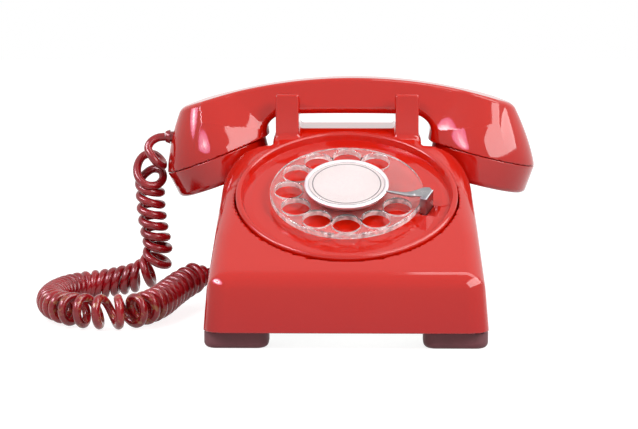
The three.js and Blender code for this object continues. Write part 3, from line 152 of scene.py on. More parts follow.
def smooth_route(points, per_span=24):
    """Centripetal Catmull-Rom spline through the points."""
    p = np.array(points, float)
    p = np.vstack([2 * p[0] - p[1], p, 2 * p[-1] - p[-2]])
    out = []
    for i in range(len(p) - 3):
        a, b, c, d = p[i:i + 4]
        t0 = 0
        t1 = t0 + np.linalg.norm(b - a) ** 0.5
        t2 = t1 + np.linalg.norm(c - b) ** 0.5
        t3 = t2 + np.linalg.norm(d - c) ** 0.5
        for t in np.linspace(t1, t2, per_span, endpoint=False):
            ab = (t1 - t) / (t1 - t0) * a + (t - t0) / (t1 - t0) * b
            bc = (t2 - t) / (t2 - t1) * b + (t - t1) / (t2 - t1) * c
            cd = (t3 - t) / (t3 - t2) * c + (t - t2) / (t3 - t2) * d
            abc = (t2 - t) / (t2 - t0) * ab + (t - t0) / (t2 - t0) * bc
            bcd = (t3 - t) / (t3 - t1) * bc + (t - t1) / (t3 - t1) * cd
            out.append((t2 - t) / (t2 - t1) * abc + (t - t1) / (t2 - t1) * bcd)
    out.append(p[-2])
    return np.array(out)


def arc_lengths(path):
    return np.concatenate([[0], np.cumsum(np.linalg.norm(np.diff(path, axis=0), axis=1))])


middle = smooth_route(ROUTE)
middle_arc = arc_lengths(middle)
route_arc = middle_arc[::24]
print("coiled stretch %.0f mm long" % middle_arc[-1])

# %% How the winding changes along the route
# Each row: place on the route (its point's number), pitch, coil radius to the
# wire's middle, then how far the turns lean along the coil per millimetre of
# height, towards the front and towards the right.
WINDING = [
    (0, 7.6, 6.4, 0, 0.3, 0.1), (0.7, 7, 6.2, 0, 0.1, 0.2), (3, 6.3, 6.1, 0, 0, 0.2),
    (3.6, 7, 6.4, 0.1, 0.2, 0.1), (4.4, 9.5, 7, 0.3, 0.2, 0), (5.6, 10, 7, 0.3, 0.2, 0),
    (6.5, 6.2, 6.3, 0.35, 0, 0), (8, 5.4, 6.2, 0.35, 0, 0), (11, 5.8, 6.1, 0.1, 0, 0),
    (14, 6.6, 6.3, 0.1, 0, 0), (15.5, 9, 7.2, 0.3, 0, 0), (17.5, 10.5, 7.4, 0.35, 0, 0),
    (18.5, 8.4, 7, 0.3, 0, 0), (20, 8, 6.9, 0.2, 0, 0), (23.4, 7.4, 6.5, 0, 0, 0),
    (24.2, 6, 3, 0, 0, 0), (25, 12, 0, 0, 0, 0), (26, 12, 0, 0, 0, 0),
]
WINDING_TURN = -1
STEPS_PER_TURN = 28


def wound(middle, middle_arc):
    table = np.array(WINDING, float)
    at = np.interp(table[:, 0], np.arange(len(route_arc)), route_arc)
    fine = np.arange(0, middle_arc[-1], 0.05)
    pitch = np.interp(fine, at, table[:, 1])
    turns = np.concatenate([[0], np.cumsum(0.05 / pitch)[:-1]])
    count = int(turns[-1] * STEPS_PER_TURN)
    s = np.interp(np.linspace(0, turns[-1], count), turns, fine)
    line = np.stack([np.interp(s, middle_arc, middle[:, k]) for k in range(3)], axis=1)
    along = np.gradient(line, axis=0)
    along /= np.linalg.norm(along, axis=1)[:, None]
    # a frame that turns as little as it can, carried from step to step
    side = np.zeros_like(along)
    side[0] = (0, -1, 0)  # the first turn starts at the left
    for i in range(1, count):
        v = side[i - 1] - along[i] * np.dot(side[i - 1], along[i])
        side[i] = v / np.linalg.norm(v)
    other = np.cross(along, side)
    angle = math.pi / 2 + 2 * math.pi * np.linspace(0, turns[-1], count) * WINDING_TURN
    radius = np.interp(s, at, table[:, 2])[:, None]
    lean = np.interp(s, at, table[:, 3])[:, None]
    spoke = np.cos(angle)[:, None] * side + np.sin(angle)[:, None] * other
    front, right = (np.interp(s, at, table[:, k])[:, None] for k in (4, 5))
    shift = spoke[:, 2:3] * lean + spoke[:, 1:2] * front - spoke[:, 0:1] * right
    return line + spoke * radius - along * shift * radius, turns[-1]


coil, cord_turns = wound(middle, middle_arc)
loose = smooth_route(LOOSE_END + [coil[0], coil[5]], 5)[:-6]
cord_path = np.concatenate([loose, coil])

# %% A tube along a path
def tube(name, path, radius, sides=12):
    along = np.gradient(path, axis=0)
    along /= np.linalg.norm(along, axis=1)[:, None]
    side = np.cross(along[0], (0.3, 0.2, 1.0))
    rings = []
    for point, t in zip(path, along):
        side = side - t * np.dot(side, t)
        side = side / np.linalg.norm(side)
        other = np.cross(t, side)
        a = np.arange(sides) * 2 * math.pi / sides
        rings.append(point + radius * (np.cos(a)[:, None] * side + np.sin(a)[:, None] * other))
    points = np.concatenate(rings + [path[:1], path[-1:]])
    faces = []
    for i in range(len(path) - 1):
        for k in range(sides):
            n = (k + 1) % sides
            faces.append((i * sides + k, i * sides + n, (i + 1) * sides + n, (i + 1) * sides + k))
    last = (len(path) - 1) * sides
    for k in range(sides):
        n = (k + 1) % sides
        faces.append((len(points) - 2, n, k))
        faces.append((len(points) - 1, last + k, last + n))
    return piece(name, points, faces, sharp=60)


cord = tube("handset_cord", cord_path, CORD_D / 2)

# %% [markdown]
# ## Finishes
# One small function adds a shader node with its settings and links, and another
# turns the hex colours that a paint chart would give into the linear values that
# the renderer works in.

# %% Shader helpers
def colour(hex_code):
    channels = [int(hex_code[i:i + 2], 16) / 255 for i in (1, 3, 5)]
    linear = [c / 12.92 if c <= 0.04045 else ((c + 0.055) / 1.055) ** 2.4 for c in channels]
    return (*linear, 1.0)


def add_node(tree, kind, inputs=None, **settings):
    made = tree.nodes.new(kind)
    for key, value in settings.items():
        setattr(made, key, value)
    for key, value in (inputs or {}).items():
        if isinstance(value, bpy.types.NodeSocket):
            tree.links.new(value, made.inputs[key])
        else:
            made.inputs[key].default_value = value
    return made


def scale_of(size):
    """A noise texture's scale for patches of a size in millimetres."""
    return 1 / (size * MM)


def blank(name):
    material = bpy.data.materials.new(name)
    material.use_nodes = True
    material.node_tree.nodes.clear()
    return material, material.node_tree


def shaded(tree, **inputs):
    names = {key.replace("_", " "): value for key, value in inputs.items()}
    shader = add_node(tree, "ShaderNodeBsdfPrincipled", names)
    output = add_node(tree, "ShaderNodeOutputMaterial")
    tree.links.new(shader.outputs[0], output.inputs[0])
    return shader


def ramp(tree, factor, stops):
    made = add_node(tree, "ShaderNodeValToRGB", {"Fac": factor})
    elements = made.color_ramp.elements
    while len(elements) < len(stops):
        elements.new(0.5)
    for element, (place, value) in zip(elements, stops):
        element.position = place
        element.color = value
    return made.outputs[0]

# %% Red moulded ABS
# Injection-moulded ABS, buffed to a gloss: the eye gets a saturated orange red,
# a thin white veil at glancing angles and very slight ripple in the reflections.
def moulded_red(name, high="#D81C08", low="#C90A0C", low_z=6, high_z=44):
    material, tree = blank(name)
    place = add_node(tree, "ShaderNodeTexCoord").outputs["Object"]
    split = add_node(tree, "ShaderNodeSeparateXYZ", {0: place})
    # Painted shade: the colour goes from the low colour at low_z to the high colour at high_z, so the part
    # is darker lower down, where less light falls.
    painted_shade_by_height = add_node(tree, "ShaderNodeMapRange", {
        "Value": split.outputs["Z"], "From Min": low_z * MM, "From Max": high_z * MM})
    cloud = add_node(tree, "ShaderNodeTexNoise", {"Vector": place, "Scale": scale_of(35.71), "Detail": 3})
    drift = add_node(tree, "ShaderNodeMath", {
        0: cloud.outputs[0], 1: 0.18, 2: -0.09}, operation="MULTIPLY_ADD")
    level = add_node(tree, "ShaderNodeMath", {0: painted_shade_by_height.outputs[0], 1: drift.outputs[0]}, operation="ADD")
    tint = ramp(tree, level.outputs[0], [(0, colour(low)), (1, colour(high))])
    speck = add_node(tree, "ShaderNodeTexNoise", {"Vector": place, "Scale": scale_of(11.11), "Detail": 4})
    gloss = add_node(tree, "ShaderNodeMapRange", {
        "Value": speck.outputs[0], "From Min": 0.35, "From Max": 0.75, "To Min": 0.04, "To Max": 0.11})
    ripple = add_node(tree, "ShaderNodeTexNoise", {"Vector": place, "Scale": scale_of(16.667), "Detail": 1})
    bump = add_node(tree, "ShaderNodeBump", {
        "Strength": 0.05, "Distance": 0.0004, "Height": ripple.outputs[0]})
    shaded(tree, Base_Color=tint, Roughness=gloss.outputs[0], IOR=1.52, Normal=bump.outputs[0])
    return material


# Both reds carry that painted shade: the housing darkens towards its foot, the handset towards its underside
# and its caps.
housing_red = moulded_red("moulded_red_abs")
handset_red = moulded_red("moulded_red_handset_abs", "#D61C09", "#B8080A", 62, 104)

# %% Cord vinyl
# Plasticised PVC over tinsel wire: deep glossy crimson. Where the open turns rub
# on the desk the colour has worn to tan streaks that follow the lead.
def cord_vinyl():
    material, tree = blank("extruded_crimson_vinyl")
    place = add_node(tree, "ShaderNodeTexCoord").outputs["Object"]
    split = add_node(tree, "ShaderNodeSeparateXYZ", {0: place})
    front = add_node(tree, "ShaderNodeMapRange", {
        "Value": split.outputs["Y"], "From Min": -16 * MM, "From Max": -40 * MM})
    grain = add_node(tree, "ShaderNodeTexNoise", {"Vector": place, "Scale": scale_of(3.03), "Detail": 4})
    patch = add_node(tree, "ShaderNodeMapRange", {
        "Value": grain.outputs[0], "From Min": 0.55, "From Max": 0.66})
    worn = add_node(tree, "ShaderNodeMath", {
        0: front.outputs[0], 1: patch.outputs[0]}, operation="MULTIPLY")
    cloud = add_node(tree, "ShaderNodeTexNoise", {"Vector": place, "Scale": scale_of(16.667), "Detail": 2})
    vinyl = ramp(tree, cloud.outputs[0], [(0.3, colour("#8C0C17")), (0.75, colour("#B8141F"))])
    tint = add_node(tree, "ShaderNodeMix", {
        "Factor": worn.outputs[0], "A": vinyl, "B": colour("#B4764E")}, data_type="RGBA")
    shaded(tree, Base_Color=tint.outputs["Result"], Roughness=0.2, IOR=1.53)
    return material


cord_finish = cord_vinyl()
cord.data.materials.append(cord_finish)
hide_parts("curly_cord", "handset_tail", "base_tail")
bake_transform(cord)

# %% [markdown]
# ## Moulded shells from distance fields
# The housing is one moulding whose walls, deck, cradle and hollows run into each
# other with soft edges. Lofts and booleans would leave hard seams there. A
# distance field doesn't: each wall is a function that is negative inside, and
# joining two of them with a rounded minimum or maximum puts in the fillet. A
# surface net then lays one vertex in every grid cell that the surface crosses,
# each vertex is pulled exactly onto the surface, and the field's slope gives
# true normals for clean reflections.

# %% Joining fields with rounded edges
def both(a, b, r=0.0):
    """Inside both, with the outer edge rounded by r."""
    if np.ndim(r) == 0 and r <= 0:
        return np.maximum(a, b)
    return np.minimum(-r, np.maximum(a, b)) + np.hypot(np.maximum(a + r, 0), np.maximum(b + r, 0))


def either(a, b, r=0.0):
    """Inside either, with the inner corner filled by a radius r."""
    return -both(-a, -b, r)


def without(a, b, r=0.0):
    return both(a, -b, r)


def half_plane(u, v, through, normal):
    nu, nv = normal
    size = math.hypot(nu, nv)
    return ((u - through[0]) * nu + (v - through[1]) * nv) / size

# %% The surface net
def surface_net(field, axes):
    x, y, z = np.meshgrid(*axes, indexing="ij")
    value = field(x, y, z)
    inside = value < 0
    cells = tuple(n - 1 for n in value.shape)
    total = np.zeros((*cells, 3))
    count = np.zeros(cells)
    crossings = []
    for axis in range(3):
        low = [slice(None)] * 3
        high = [slice(None)] * 3
        low[axis] = slice(0, -1)
        high[axis] = slice(1, None)
        low, high = tuple(low), tuple(high)
        cross = inside[low] != inside[high]
        crossings.append((axis, cross, inside[low]))
        share = np.where(cross, value[low] / np.where(cross, value[low] - value[high], 1), 0)
        where = [np.broadcast_to(c[low], cross.shape) for c in (x, y, z)]
        where[axis] = where[axis] + share * (np.stack((x, y, z))[axis][high] - where[axis])
        others = [k for k in range(3) if k != axis]
        for da in (0, 1):
            for db in (0, 1):
                part = [slice(None)] * 3
                part[others[0]] = slice(da, da + cells[others[0]])
                part[others[1]] = slice(db, db + cells[others[1]])
                part = tuple(part)
                weight = cross[part]
                count += weight
                for k in range(3):
                    total[..., k] += where[k][part] * weight
    used = count > 0
    number = np.full(cells, -1)
    number[used] = np.arange(used.sum())
    points = total[used] / count[used][:, None]
    faces = []
    for axis, cross, low_inside in crossings:
        u, v = (axis + 1) % 3, (axis + 2) % 3
        at = np.argwhere(cross)
        keep = (at[:, u] > 0) & (at[:, v] > 0) & (at[:, u] < cells[u]) & (at[:, v] < cells[v])
        at = at[keep]
        outwards = low_inside[tuple(at.T)]
        corners = []
        for du, dv in ((-1, -1), (0, -1), (0, 0), (-1, 0)):
            cell = at.copy()
            cell[:, u] += du
            cell[:, v] += dv
            corners.append(number[tuple(cell.T)])
        quads = np.stack(corners, axis=1)
        quads[~outwards] = quads[~outwards][:, ::-1]
        faces.append(quads)
    return points, np.concatenate(faces)


def slope(field, points, h=0.02):
    columns = []
    for k in range(3):
        shift = np.zeros(3)
        shift[k] = h
        ahead, behind = (points + shift).T, (points - shift).T
        columns.append((field(*ahead) - field(*behind)) / (2 * h))
    return np.stack(columns, axis=1)


def settled(field, points, reach):
    for _ in range(5):
        steep = slope(field, points)
        size = np.maximum((steep ** 2).sum(axis=1), 0.05)
        move = steep * (field(*points.T) / size)[:, None]
        far = np.linalg.norm(move, axis=1)[:, None]
        points = points - move * np.minimum(1, reach / np.maximum(far, 1e-9))
    steep = slope(field, points)
    return points, steep / np.maximum(np.linalg.norm(steep, axis=1), 1e-9)[:, None]


def graded(low, high, coarse, fine, zones):
    """Grid lines from low to high, closer together inside the zones."""
    lines = [low]
    while lines[-1] < high:
        here = lines[-1]
        close = any(a - coarse <= here < b for a, b in zones)
        lines.append(here + (fine if close else coarse))
    return np.array(lines)


def moulding(name, field, axes, reach, offset=(0, 0, 0)):
    points, faces = surface_net(field, axes)
    points, normals = settled(field, points, reach)
    return piece(name, points + np.array(offset), faces, normals=normals)

# %% [markdown]
# ## The housing
# An injection-moulded shell 3 mm thick. Seen from the side it is a leaning front
# wall, a deck at the dial's slope, a level land between the prongs and a sloping
# back. Seen from the front its walls lean in a little and then round over into a
# narrow neck. The edge between deck and side is a wide soft rounding that
# narrows towards the neck.

# %% Housing sizes
SKIRT_Z, FRONT_Y, REAR_Y = 9.1, -107, 107
DIAL_TILT, DIAL_Y, DIAL_Z, DECK_DROP = math.radians(28), -38.5, 76, 3.2
TILT_SIN, TILT_COS = math.sin(DIAL_TILT), math.cos(DIAL_TILT)
PLATEAU_Z, SHOULDER_Z, NECK_Z = 103.7, 70, 99
SKIRT_HALF, SHOULDER_HALF, NECK_HALF = 73.9, 68.9, 41
FRONT_LEAN = math.radians(6.5)
WALL = 3
PRONG_MIDDLE_X, PRONG_HALF_X, PLUNGER_X = 33.6, 6.5, 33.2
CRADLE_Y, CRADLE_HALF = 37, 25
PRONG_TOP_Z, SADDLE_Z = 123.5, 111
HANDSET_PLACE = np.array((1.4, 36.9, 0))
WEB_R, WEB_WALL_LEFT, WEB_WALL_RIGHT = 12, 48, 46.9
BOSS_Y, BOSS_R, SCREW_HOLE_R = 98.5, 5, 2.1
WELL_R, WELL_FLOOR = 60.6, -13
PLUNGER_HOLE_R, ENTRY_R, OUTLET_R = 3.5, 4.8, 3.6


def dial_space(y, z):
    """Distance up the deck and above the finger wheel's face."""
    back, up = y - DIAL_Y, z - DIAL_Z
    return back * TILT_COS + up * TILT_SIN, up * TILT_COS - back * TILT_SIN


def side_profile(y, z):
    front = half_plane(y, z, (FRONT_Y, SKIRT_Z), (-math.cos(FRONT_LEAN), math.sin(FRONT_LEAN)))
    deck = dial_space(y, z)[1] + DECK_DROP
    top = z - PLATEAU_Z
    wall = half_plane(y, z, (REAR_Y, SKIRT_Z), (40.9, 6))
    incline = half_plane(y, z, (101, 50), (28, 25))
    nape = half_plane(y, z, (76, 78), (25.7, 10))
    rear = both(either(incline, nape, 3), wall, 4)
    return both(both(both(front, deck, 5.2), top, 2.5), rear, 3)


def end_profile(x, z):
    across = np.abs(x)
    low_half = SHOULDER_HALF + (SKIRT_HALF - SHOULDER_HALF) * np.maximum(
        (SHOULDER_Z - z) / (SHOULDER_Z - SKIRT_Z), 0)
    a, b = low_half - NECK_HALF, NECK_Z - SHOULDER_Z
    u, w = np.maximum(across - NECK_HALF, 0) / a, np.maximum(z - SHOULDER_Z, 0) / b
    power = 1.8
    size = np.maximum((u ** power + w ** power) ** (1 / power), 1e-6)
    steep = np.hypot((u / size) ** (power - 1) / a, (w / size) ** (power - 1) / b)
    shoulder = (size - 1) / np.maximum(steep, 1 / 26)
    neck_half = NECK_HALF - 1.8 * np.clip((z - NECK_Z) / (PLATEAU_Z - NECK_Z), 0, 1)
    return either(shoulder, across - neck_half, 2)


def head_scoop(x, y, z):
    across = np.abs(x)
    floor = half_plane(across, z, (41.5, 78), (-22.9, -44.4))
    return both(both(41.5 - across, floor, 5), 8.6 - y, 1.5)


def web_drop(x):
    """How far the handset's underside has curved down at a place along it."""
    along = x - HANDSET_PLACE[0]
    wall = np.where(along < 0, WEB_WALL_LEFT, WEB_WALL_RIGHT)
    into = np.clip(np.abs(along) - wall + WEB_R, 0, WEB_R)
    return WEB_R - np.sqrt(WEB_R ** 2 - into ** 2)


def cradle(x, y, z):
    along = np.abs(y - CRADLE_Y)
    outer = half_plane(along, z, (CRADLE_HALF, 96.7), (26.8, 0.5))
    inner = half_plane(along, z, (CRADLE_HALF - 7, PRONG_TOP_Z), (-12.5, -2.4))
    slab = either(z - SADDLE_Z + web_drop(x), inner, 5)
    upright = both(both(outer, slab, 1.2), z - PRONG_TOP_Z, 1.2)
    upright = both(upright, 94 - z)
    return both(upright, np.abs(np.abs(x) - PRONG_MIDDLE_X) - PRONG_HALF_X, 1.0)


def housing_skin(x, y, z):
    edge = np.interp(z, (56, 76, 86, NECK_Z), (9, 14, 12, 4))
    form = both(side_profile(y, z), end_profile(x, z), edge)
    return without(form, head_scoop(x, y, z), 1.6)


def grip_pocket(x, y, z, grow=0):
    across, up = np.abs(x) - 30 - grow, np.abs(z - 83.5) - 10.5 - grow
    return both(both(across, up, 7 + grow), 45 - grow - y, 2)


def housing_field(x, y, z):
    skin = housing_skin(x, y, z)
    cavity = np.maximum(skin + WALL, -grip_pocket(x, y, z, WALL))
    outer = either(skin, cradle(x, y, z), 2.2)
    shell = without(outer, cavity)
    for side in (-1, 1):
        reach = np.hypot(x, y - side * BOSS_Y)
        boss = np.maximum(np.maximum(reach - BOSS_R, z - 30), 13.4 - z)
        hole = np.maximum(reach - SCREW_HOLE_R, z - 24)
        shell = np.minimum(shell, np.maximum(boss, -hole))
    up, height = dial_space(y, z)
    well = np.maximum(np.hypot(x, up) - WELL_R, WELL_FLOOR - height)
    shell = without(shell, well, 0.7)
    shell = without(shell, grip_pocket(x, y, z), 1.5)
    plunger = np.hypot(np.abs(x) - PLUNGER_X, y - HANDSET_PLACE[1]) - PLUNGER_HOLE_R
    shell = without(shell, np.maximum(plunger, 91.7 - z), 0.5)
    entry = np.maximum(np.hypot(y - 41, z - 19) - ENTRY_R, x + 55)
    outlet = np.maximum(np.hypot(x + 30, z - 18) - OUTLET_R, 93 - y)
    shell = without(without(shell, entry, 0.5), outlet, 0.5)
    return both(shell, SKIRT_Z - z, 0.5)


HOUSING_GRID = (
    graded(-76.5, 76.5, 1.7, 0.8, [(-40.5, -26), (26, 40.5)]),
    graded(-109.5, 109.5, 1.6, 0.9, [(10, 22), (54, 64)]),
    graded(7.3, 125.5, 1.5, 0.8, [(98, 102), (120.5, 125)]),
)
housing = moulding("housing_shell", housing_field, HOUSING_GRID, 1.2)
finished(housing, housing_red, "root", "red_plastic", "housing")

# %% [markdown]
# ## The handset
# The same tools make the handset's long moulding. Its back is one arch, its grip
# narrows upwards, and each head is a stack of circles that stand level at the
# crown and tilt towards the seam, where the screw-on cap begins. The wide curves
# between grip and heads come from the rounded joining.

# %% Handset sizes and fields
BACK_TOP_Z, BACK_R, BACK_X, UNDER_R = 131.9, 284, 2, 1500
GRIP_TOP_HALF, GRIP_FOOT_HALF, GRIP_REST_X = 10.5, 14, 40.6
HEAD_R, CROWN_R = 29.9, 17
TRANSMITTER = {"side": -1, "seam": (-76.2, 87.9), "crown": (-79, 115), "tilt": math.radians(21)}
RECEIVER = {"side": 1, "seam": (76.4, 88.7), "crown": (76, 117), "tilt": math.radians(13.8)}
HEADS = (TRANSMITTER, RECEIVER)


def in_head(head, x, z):
    """Height above a head's seam and distance across it."""
    dx, dz = x - head["seam"][0], z - head["seam"][1]
    lean = head["side"] * head["tilt"]
    return dx * math.sin(lean) + dz * math.cos(lean), dx * math.cos(lean) - dz * math.sin(lean)


def head_form(head, x, y, z):
    (seam_x, seam_z), (crown_x, crown_z) = head["seam"], head["crown"]
    share = (z - seam_z) / (crown_z - seam_z)
    for _ in range(8):
        share = np.clip(share, -0.3, 1.6)
        lean = head["side"] * head["tilt"] * (1 - np.clip(share, 0, 1))
        dx = x - seam_x - (crown_x - seam_x) * share
        dz = z - seam_z - (crown_z - seam_z) * share
        share = share + (dx * np.sin(lean) + dz * np.cos(lean)) / (crown_z - seam_z)
    across = dx * np.cos(lean) - dz * np.sin(lean)
    radius = HEAD_R + (CROWN_R - HEAD_R) * np.maximum(share, 0) ** 1.25
    return (np.hypot(across, y) - radius) * 0.9


def grip_form(x, y, z):
    top = BACK_TOP_Z - BACK_R + np.sqrt(np.maximum(BACK_R ** 2 - (x - BACK_X) ** 2, 0))
    reach = np.minimum(np.abs(x), GRIP_REST_X)
    arch = np.sqrt(UNDER_R ** 2 - reach ** 2) - math.sqrt(UNDER_R ** 2 - GRIP_REST_X ** 2)
    low = SADDLE_Z + 0.3 + arch
    part = np.clip((np.abs(x) - 36) / 26, 0, 1)
    spread = GRIP_FOOT_HALF - GRIP_TOP_HALF + 1.6 * part * part * (3 - 2 * part)
    half = GRIP_TOP_HALF + spread * np.clip((top - z) / (top - low), -0.2, 1.5)
    wall = np.where(x < 0, WEB_WALL_LEFT, WEB_WALL_RIGHT)
    under = either(low - z, wall - np.abs(x), WEB_R)
    return np.maximum(both((np.abs(y) - half) * 0.97, under, 4.5), np.abs(x) - 80)


def handset_field(x, y, z):
    form = grip_form(x, y, z)
    heads = [head_form(head, x, y, z) for head in HEADS]
    for head in heads:
        form = either(form, head, 8)
    form = both(form, np.hypot(x - BACK_X, z - BACK_TOP_Z + BACK_R) - BACK_R, 2.2)
    for head, shape in zip(HEADS, heads):
        above, across = in_head(head, x, z)
        near = head["side"] * x > 40
        form = both(form, np.where(near, -above, -50), 0.4)
        collar = np.maximum(np.hypot(across, y) - 23.7, above - 4)
        pocket = np.minimum(collar, np.maximum(shape + 4.5, above - 16))
        form = without(form, np.where(near, pocket, 50), 0.3)
    return without(form, np.maximum(np.hypot(y, z - 97.5) - 3.4, x + 84), 0.3)


HANDSET_GRID = (
    graded(-107, 107, 1.2, 0.9, [(-107, -40), (40, 107)]),
    graded(-31.5, 31.5, 0.9, 0.9, []),
    graded(76, 133.5, 0.9, 0.9, []),
)
handle = moulding("handset_moulding", handset_field, HANDSET_GRID, 1.0, HANDSET_PLACE)
finished(handle, handset_red, "handset", "red_plastic", "handle")

# %% [markdown]
# ## Turned pieces
# Caps, dial ring, bezel and card are round, so each is an outline turned about an
# axis. The outline is written with sharp corners and a radius for each corner.
# Just beside every rounding stands one more ring of points, which keeps the flat
# faces flat when they are shaded smoothly.

# %% Outlines and turning
def rounded_loop(corners, steps=5):
    out = []
    for i, (u, v, r) in enumerate(corners):
        here = np.array((u, v), float)
        back = np.array(corners[i - 1][:2]) - here
        on = np.array(corners[(i + 1) % len(corners)][:2]) - here
        if r <= 0:
            out.append(here)
            continue
        back = back / np.linalg.norm(back)
        on = on / np.linalg.norm(on)
        half = math.acos(np.clip(np.dot(back, on), -1, 1)) / 2
        start, end = here + back * r / math.tan(half), here + on * r / math.tan(half)
        centre = here + (back + on) / np.linalg.norm(back + on) * r / math.sin(half)
        sweep = math.pi - 2 * half
        out.append(start + back * 0.08)
        for k in range(steps + 1):
            a, b = math.sin((1 - k / steps) * sweep), math.sin(k / steps * sweep)
            out.append(centre + (a * (start - centre) + b * (end - centre)) / math.sin(sweep))
        out.append(end + on * 0.08)
    return np.array(out)


def tidied(obj, gap=1e-6, sharp=35):
    shape = bmesh.new()
    shape.from_mesh(obj.data)
    bmesh.ops.remove_doubles(shape, verts=shape.verts, dist=gap)
    bmesh.ops.dissolve_degenerate(shape, edges=shape.edges, dist=gap)
    bmesh.ops.recalc_face_normals(shape, faces=shape.faces)
    shape.to_mesh(obj.data)
    shape.free()
    obj.data.shade_smooth()
    obj.data.set_sharp_from_angle(angle=math.radians(sharp))
    return obj


def turned(name, outline, sides=96, place=None):
    outline = np.asarray(outline, float)
    angle = np.arange(sides) * 2 * math.pi / sides
    x, y = np.outer(outline[:, 0], np.cos(angle)), np.outer(outline[:, 0], np.sin(angle))
    z = np.outer(outline[:, 1], np.ones(sides))
    points = np.stack((x, y, z), axis=-1).reshape(-1, 3)
    faces = []
    for i in range(len(outline)):
        j = (i + 1) % len(outline)
        for k in range(sides):
            n = (k + 1) % sides
            faces.append((i * sides + k, i * sides + n, j * sides + n, j * sides + k))
    return tidied(piece(name, points if place is None else place(points), faces, sharp=180))


def on_dial(points):
    x, y, z = np.asarray(points, float).T
    return np.stack((x, DIAL_Y + y * TILT_COS - z * TILT_SIN, DIAL_Z + y * TILT_SIN + z * TILT_COS), axis=1)


def on_head(head):
    lean = head["side"] * head["tilt"]

    def place(points):
        x, y, z = np.asarray(points, float).T
        level = x * math.cos(lean) + z * math.sin(lean) + head["seam"][0]
        up = z * math.cos(lean) - x * math.sin(lean) + head["seam"][1]
        return np.stack((level, y, up), axis=1) + HANDSET_PLACE
    return place

# %% Holes that repeat
# Sound holes are copies round a circle, so one geometry tool places them: its
# inputs are how many, on which radius, how thick and how long.
def pins_round_a_circle():
    group = bpy.data.node_groups.new("pins_round_a_circle", "GeometryNodeTree")
    sockets = (
        ("Count", "NodeSocketInt", 6), ("Ring radius", "NodeSocketFloat", 0.008),
        ("Pin radius", "NodeSocketFloat", 0.0014), ("Length", "NodeSocketFloat", 0.01),
        ("Start", "NodeSocketFloat", 0.0), ("Finish", "NodeSocketMaterial", None))
    group.interface.new_socket("Geometry", in_out="OUTPUT", socket_type="NodeSocketGeometry")
    group.interface.new_socket("Geometry", in_out="INPUT", socket_type="NodeSocketGeometry")
    for label, kind, value in sockets:
        socket = group.interface.new_socket(label, in_out="INPUT", socket_type=kind)
        if value is not None:
            socket.default_value = value
    start = add_node(group, "NodeGroupInput").outputs
    number = add_node(group, "GeometryNodeInputIndex").outputs[0]
    share = add_node(group, "ShaderNodeMath", {0: number, 1: start["Count"]}, operation="DIVIDE")
    turn = add_node(group, "ShaderNodeMath", {
        0: share.outputs[0], 1: math.tau, 2: start["Start"]}, operation="MULTIPLY_ADD")
    spoke = [
        add_node(group, "ShaderNodeMath", {0: turn.outputs[0]}, operation=kind)
        for kind in ("COSINE", "SINE")]
    legs = [add_node(group, "ShaderNodeMath", {
        0: leg.outputs[0], 1: start["Ring radius"]}, operation="MULTIPLY") for leg in spoke]
    spot = add_node(group, "ShaderNodeCombineXYZ", {"X": legs[0].outputs[0], "Y": legs[1].outputs[0]})
    spots = add_node(group, "GeometryNodePoints", {"Count": start["Count"], "Position": spot.outputs[0]})
    pin = add_node(group, "GeometryNodeMeshCylinder", {
        "Vertices": 28, "Radius": start["Pin radius"], "Depth": start["Length"]})
    spread = add_node(group, "GeometryNodeInstanceOnPoints", {
        "Points": spots.outputs[0], "Instance": pin.outputs["Mesh"]})
    solid = add_node(group, "GeometryNodeRealizeInstances", {0: spread.outputs[0]})
    dressed = add_node(group, "GeometryNodeSetMaterial", {
        "Geometry": solid.outputs[0], "Material": start["Finish"]})
    add_node(group, "NodeGroupOutput", {0: dressed.outputs[0]})
    return group


PIN_TOOL = pins_round_a_circle()


def pins(name, place, finish, height=0, **inputs):
    """A plain mesh of pins, in millimetres before it is placed."""
    host = linked(name, bpy.data.meshes.new(name))
    tool = host.modifiers.new("pins", "NODES")
    tool.node_group = PIN_TOOL
    inputs = {key.replace("_", " "): value for key, value in inputs.items()}
    inputs["Finish"] = finish
    for item in PIN_TOOL.interface.items_tree:
        if item.in_out == "INPUT" and item.name in inputs:
            tool[item.identifier] = inputs[item.name]
    host.update_tag()
    mesh = evaluated_mesh(host)
    host.modifiers.clear()
    count = len(mesh.vertices)
    flat = np.empty(count * 3)
    mesh.vertices.foreach_get("co", flat)
    points = flat.reshape(-1, 3) / MM + (0, 0, height)
    mesh.vertices.foreach_set("co", (place(points) * MM).ravel())
    host.data = mesh
    return host


def carved(obj, *cutters):
    """Cut the cutters out, keep the result as a plain mesh, drop the cutters."""
    for cutter in cutters:
        step = obj.modifiers.new("cut", "BOOLEAN")
        step.operation, step.solver, step.object = "DIFFERENCE", "EXACT", cutter
    mesh = evaluated_mesh(obj)
    obj.modifiers.clear()
    obj.data = mesh
    for cutter in cutters:
        bpy.data.objects.remove(cutter)
    return tidied(obj, gap=2e-6)


# %% Screw-on caps
# The transmitter's cap has one ring of six holes round a seventh, the receiver's
# a tighter ring of four. The face is a little dished, so the lips never touch it.
SOUND_HOLE_R = 1.4


def cap(name, head, face, ring_r, count):
    outline = rounded_loop([
        (0, face + 1, 0), (28.1, face, 3), (29.9, -0.3, 0.4), (23.2, -0.3, 0), (23.2, 3, 0.3),
        (21.4, 3, 0.3), (21.4, -1, 0), (24.9, face + 4.6, 2), (22.6, face + 3.1, 1), (0, face + 3.3, 0)])
    made = turned(name, outline, 112, on_head(head))
    drills = [
        pins("drill", on_head(head), handset_red, face + 2, Count=holes, Ring_radius=radius * MM,
             Pin_radius=SOUND_HOLE_R * MM, Length=8 * MM)
        for holes, radius in ((count, ring_r), (1, 0.0))]
    return carved(made, *drills)


for side, head, face, ring_r, count in (
        ("transmitter", TRANSMITTER, -16.2, 8, 6), ("receiver", RECEIVER, -16.9, 6, 4)):
    screwed = cap(side + "_cap_moulding", head, face, ring_r, count)
    finished(screwed, handset_red, "handset", "red_plastic", side + "_cap")

